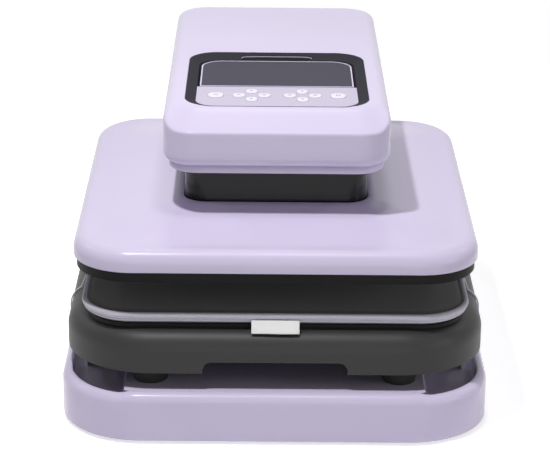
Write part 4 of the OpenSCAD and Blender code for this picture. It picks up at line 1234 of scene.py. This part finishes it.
@dataclass(frozen=True)
class PhotoCamera:
    """Camera at the photograph's viewing angle, from a fit in the press frame with the base at zero."""

    focal_px: float = 2202.0
    width_px: float = 550.0
    place: tuple[float, float, float] = (-0.3, -2184.3, 928.3)
    pitch: float = 0.343
    roll: float = 0.0105
    yaw: float = 0.006
    lift: float = 3.0

    def build(self) -> Piece:
        """Makes the camera: pitch and roll turn its axes, and the object's yaw turns the whole fit."""
        right = Vector((1.0, 0.0, 0.0))
        forward = Vector((0.0, math.cos(self.pitch), -math.sin(self.pitch)))
        down = Vector((0.0, -math.sin(self.pitch), -math.cos(self.pitch)))
        image_x = math.cos(self.roll) * right - math.sin(self.roll) * down
        image_y = math.sin(self.roll) * right + math.cos(self.roll) * down
        turn = Matrix.Rotation(-self.yaw, 3, "Z")
        place = (turn @ Vector(self.place) + Vector((0.0, PRESS_Y, self.lift))) * MM
        axes = Matrix((turn @ image_x, turn @ -image_y, turn @ -forward)).transposed()
        data = bpy.data.cameras.new("photo_camera")
        data.sensor_width = 36.0
        data.lens = data.sensor_width * self.focal_px / self.width_px
        data.clip_start = 0.05
        data.clip_end = 50.0
        camera = bpy.data.objects.new("photo_camera", data)
        camera.matrix_world = Matrix.Translation(place) @ axes.to_4x4()
        bpy.context.scene.collection.objects.link(camera)
        bpy.context.scene.camera = camera
        return camera


@dataclass(frozen=True)
class SoftBox:
    """Square area lamp aimed at a point; the level is what a white facing it would return."""

    name: str
    place: tuple[float, float, float]
    size: float
    level: float
    aim: tuple[float, float, float] = (0.0, 0.0, 0.15)

    def build(self) -> Piece:
        """Makes the lamp: power is pi squared times distance squared times the level."""
        data = bpy.data.lights.new(self.name, "AREA")
        data.shape = "SQUARE"
        data.size = self.size
        ray = Vector(self.place) - Vector(self.aim)
        data.energy = math.pi ** 2 * ray.length_squared * self.level
        lamp = bpy.data.objects.new(self.name, data)
        lamp.location = self.place
        lamp.rotation_euler = ray.to_track_quat("Z", "Y").to_euler()
        bpy.context.scene.collection.objects.link(lamp)
        return lamp


def seen_directly(wiring: Wiring) -> Socket:
    """One for rays from the camera, from gloss and through glass, and zero for the rest."""
    path = wiring.add("ShaderNodeLightPath")
    first = wiring.calc("MAXIMUM", path.outputs["Is Camera Ray"], path.outputs["Is Glossy Ray"])
    return wiring.calc("MAXIMUM", first, path.outputs["Is Transmission Ray"])


@dataclass
class Studio:
    """Plain pale floor, soft lamps, pale world and the camera."""

    paint: Paintbox
    ambient: float = 0.14
    floor_half: float = 1.2
    floor_lift: float = 0.56

    def build_floor(self) -> Piece:
        """Lays a wide pale floor under the feet."""
        corners = np.array([[-1.0, -1.0, 0.0], [1.0, -1.0, 0.0], [1.0, 1.0, 0.0], [-1.0, 1.0, 0.0]])
        floor = mesh_object("studio_floor", corners * self.floor_half / MM, [[0, 1, 2, 3]])
        finish = Plastic("studio_paper", linear(250, 250, 250), 0.9, 300.0, 0.00002, 0.004, specular=0.0)
        paper = finish.build(self.paint.effects)
        self.lift_for_camera(paper)
        floor.data.materials.append(paper)
        return floor

    def lift_for_camera(self, paper: bpy.types.Material) -> None:
        """Adds a glow that only the camera, gloss and glass see, so the lit floor reads as white."""
        wiring = Wiring(paper.node_tree)
        lift = wiring.calc("MULTIPLY", seen_directly(wiring), self.floor_lift)
        glow = wiring.feed(wiring.add("ShaderNodeEmission"), Strength=lift)
        total = wiring.add("ShaderNodeAddShader")
        wiring.join(wiring.find("BSDF_PRINCIPLED").outputs[0], total.inputs[0])
        wiring.join(glow.outputs[0], total.inputs[1])
        wiring.feed(wiring.find("OUTPUT_MATERIAL"), Surface=total.outputs[0])

    def build_world(self) -> bpy.types.World:
        """Sets a pale world that the camera, gloss and glass see as white and that lights softly."""
        world = bpy.data.worlds.new("studio_world")
        world.use_nodes = True
        wiring = Wiring(world.node_tree)
        wiring.feed(wiring.find("BACKGROUND"), Color=(1.0, 1.0, 1.0, 1.0),
                    Strength=wiring.spread(seen_directly(wiring), self.ambient, 1.0))
        bpy.context.scene.world = world
        return world

    def build(self) -> None:
        """Builds the whole studio."""
        self.build_floor()
        self.build_world()
        lamps = [SoftBox("key_left", (-0.32, -0.49, 1.65), 0.07, 0.59),
                 SoftBox("overhead", (0.08, -0.35, 2.0), 0.24, 0.15),
                 SoftBox("back_top", (0.0, 0.8, 2.2), 0.6, 0.08),
                 SoftBox("low_front", (0.3, -3.2, 0.35), 1.6, 0.12),
                 SoftBox("right_fill", (1.9, -0.9, 0.6), 0.7, 0.11),
                 SoftBox("left_kick", (-2.0, 0.7, 1.6), 0.2, 0.05),
                 SoftBox("right_kick", (2.0, 0.7, 1.6), 0.2, 0.05)]
        for lamp in lamps:
            lamp.build()
        PhotoCamera().build()
        bpy.context.scene.view_settings.view_transform = "Standard"


def corners(box: tuple[Vector, Vector]) -> list[list[float]]:
    """Both corners of a box as plain lists."""
    return [[float(value) for value in corner] for corner in box]


def report(piece: Piece) -> None:
    """Logs a piece's name and face count."""
    LOG.info("built %s with %d faces", piece.name, len(piece.data.polygons))


def main() -> None:
    """Builds the press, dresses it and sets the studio."""
    logging.basicConfig(level=logging.INFO)
    paint = Paintbox()
    report(HeadShell().build(paint))
    report(HeadLip().build(paint))
    console = ConsoleWell()
    report(console.build(paint))
    report(console.build_highlight_bead(paint))
    report(PlatenCover().build(paint))
    report(BaseShell().build(paint))
    pad = PressPad()
    report(pad.build_cushion(paint))
    report(pad.build_binding(paint))
    report(pad.build_tag(paint))
    for node in sorted(frame["nodes"]):
        if node.startswith("button_") and node != "button_plate":
            report(ButtonCap(node).build(paint))
    LOG.info("dressed %d CAD pieces", CadDressing(paint).dress())
    Studio(paint).build()


if __name__ == "__main__":
    main()
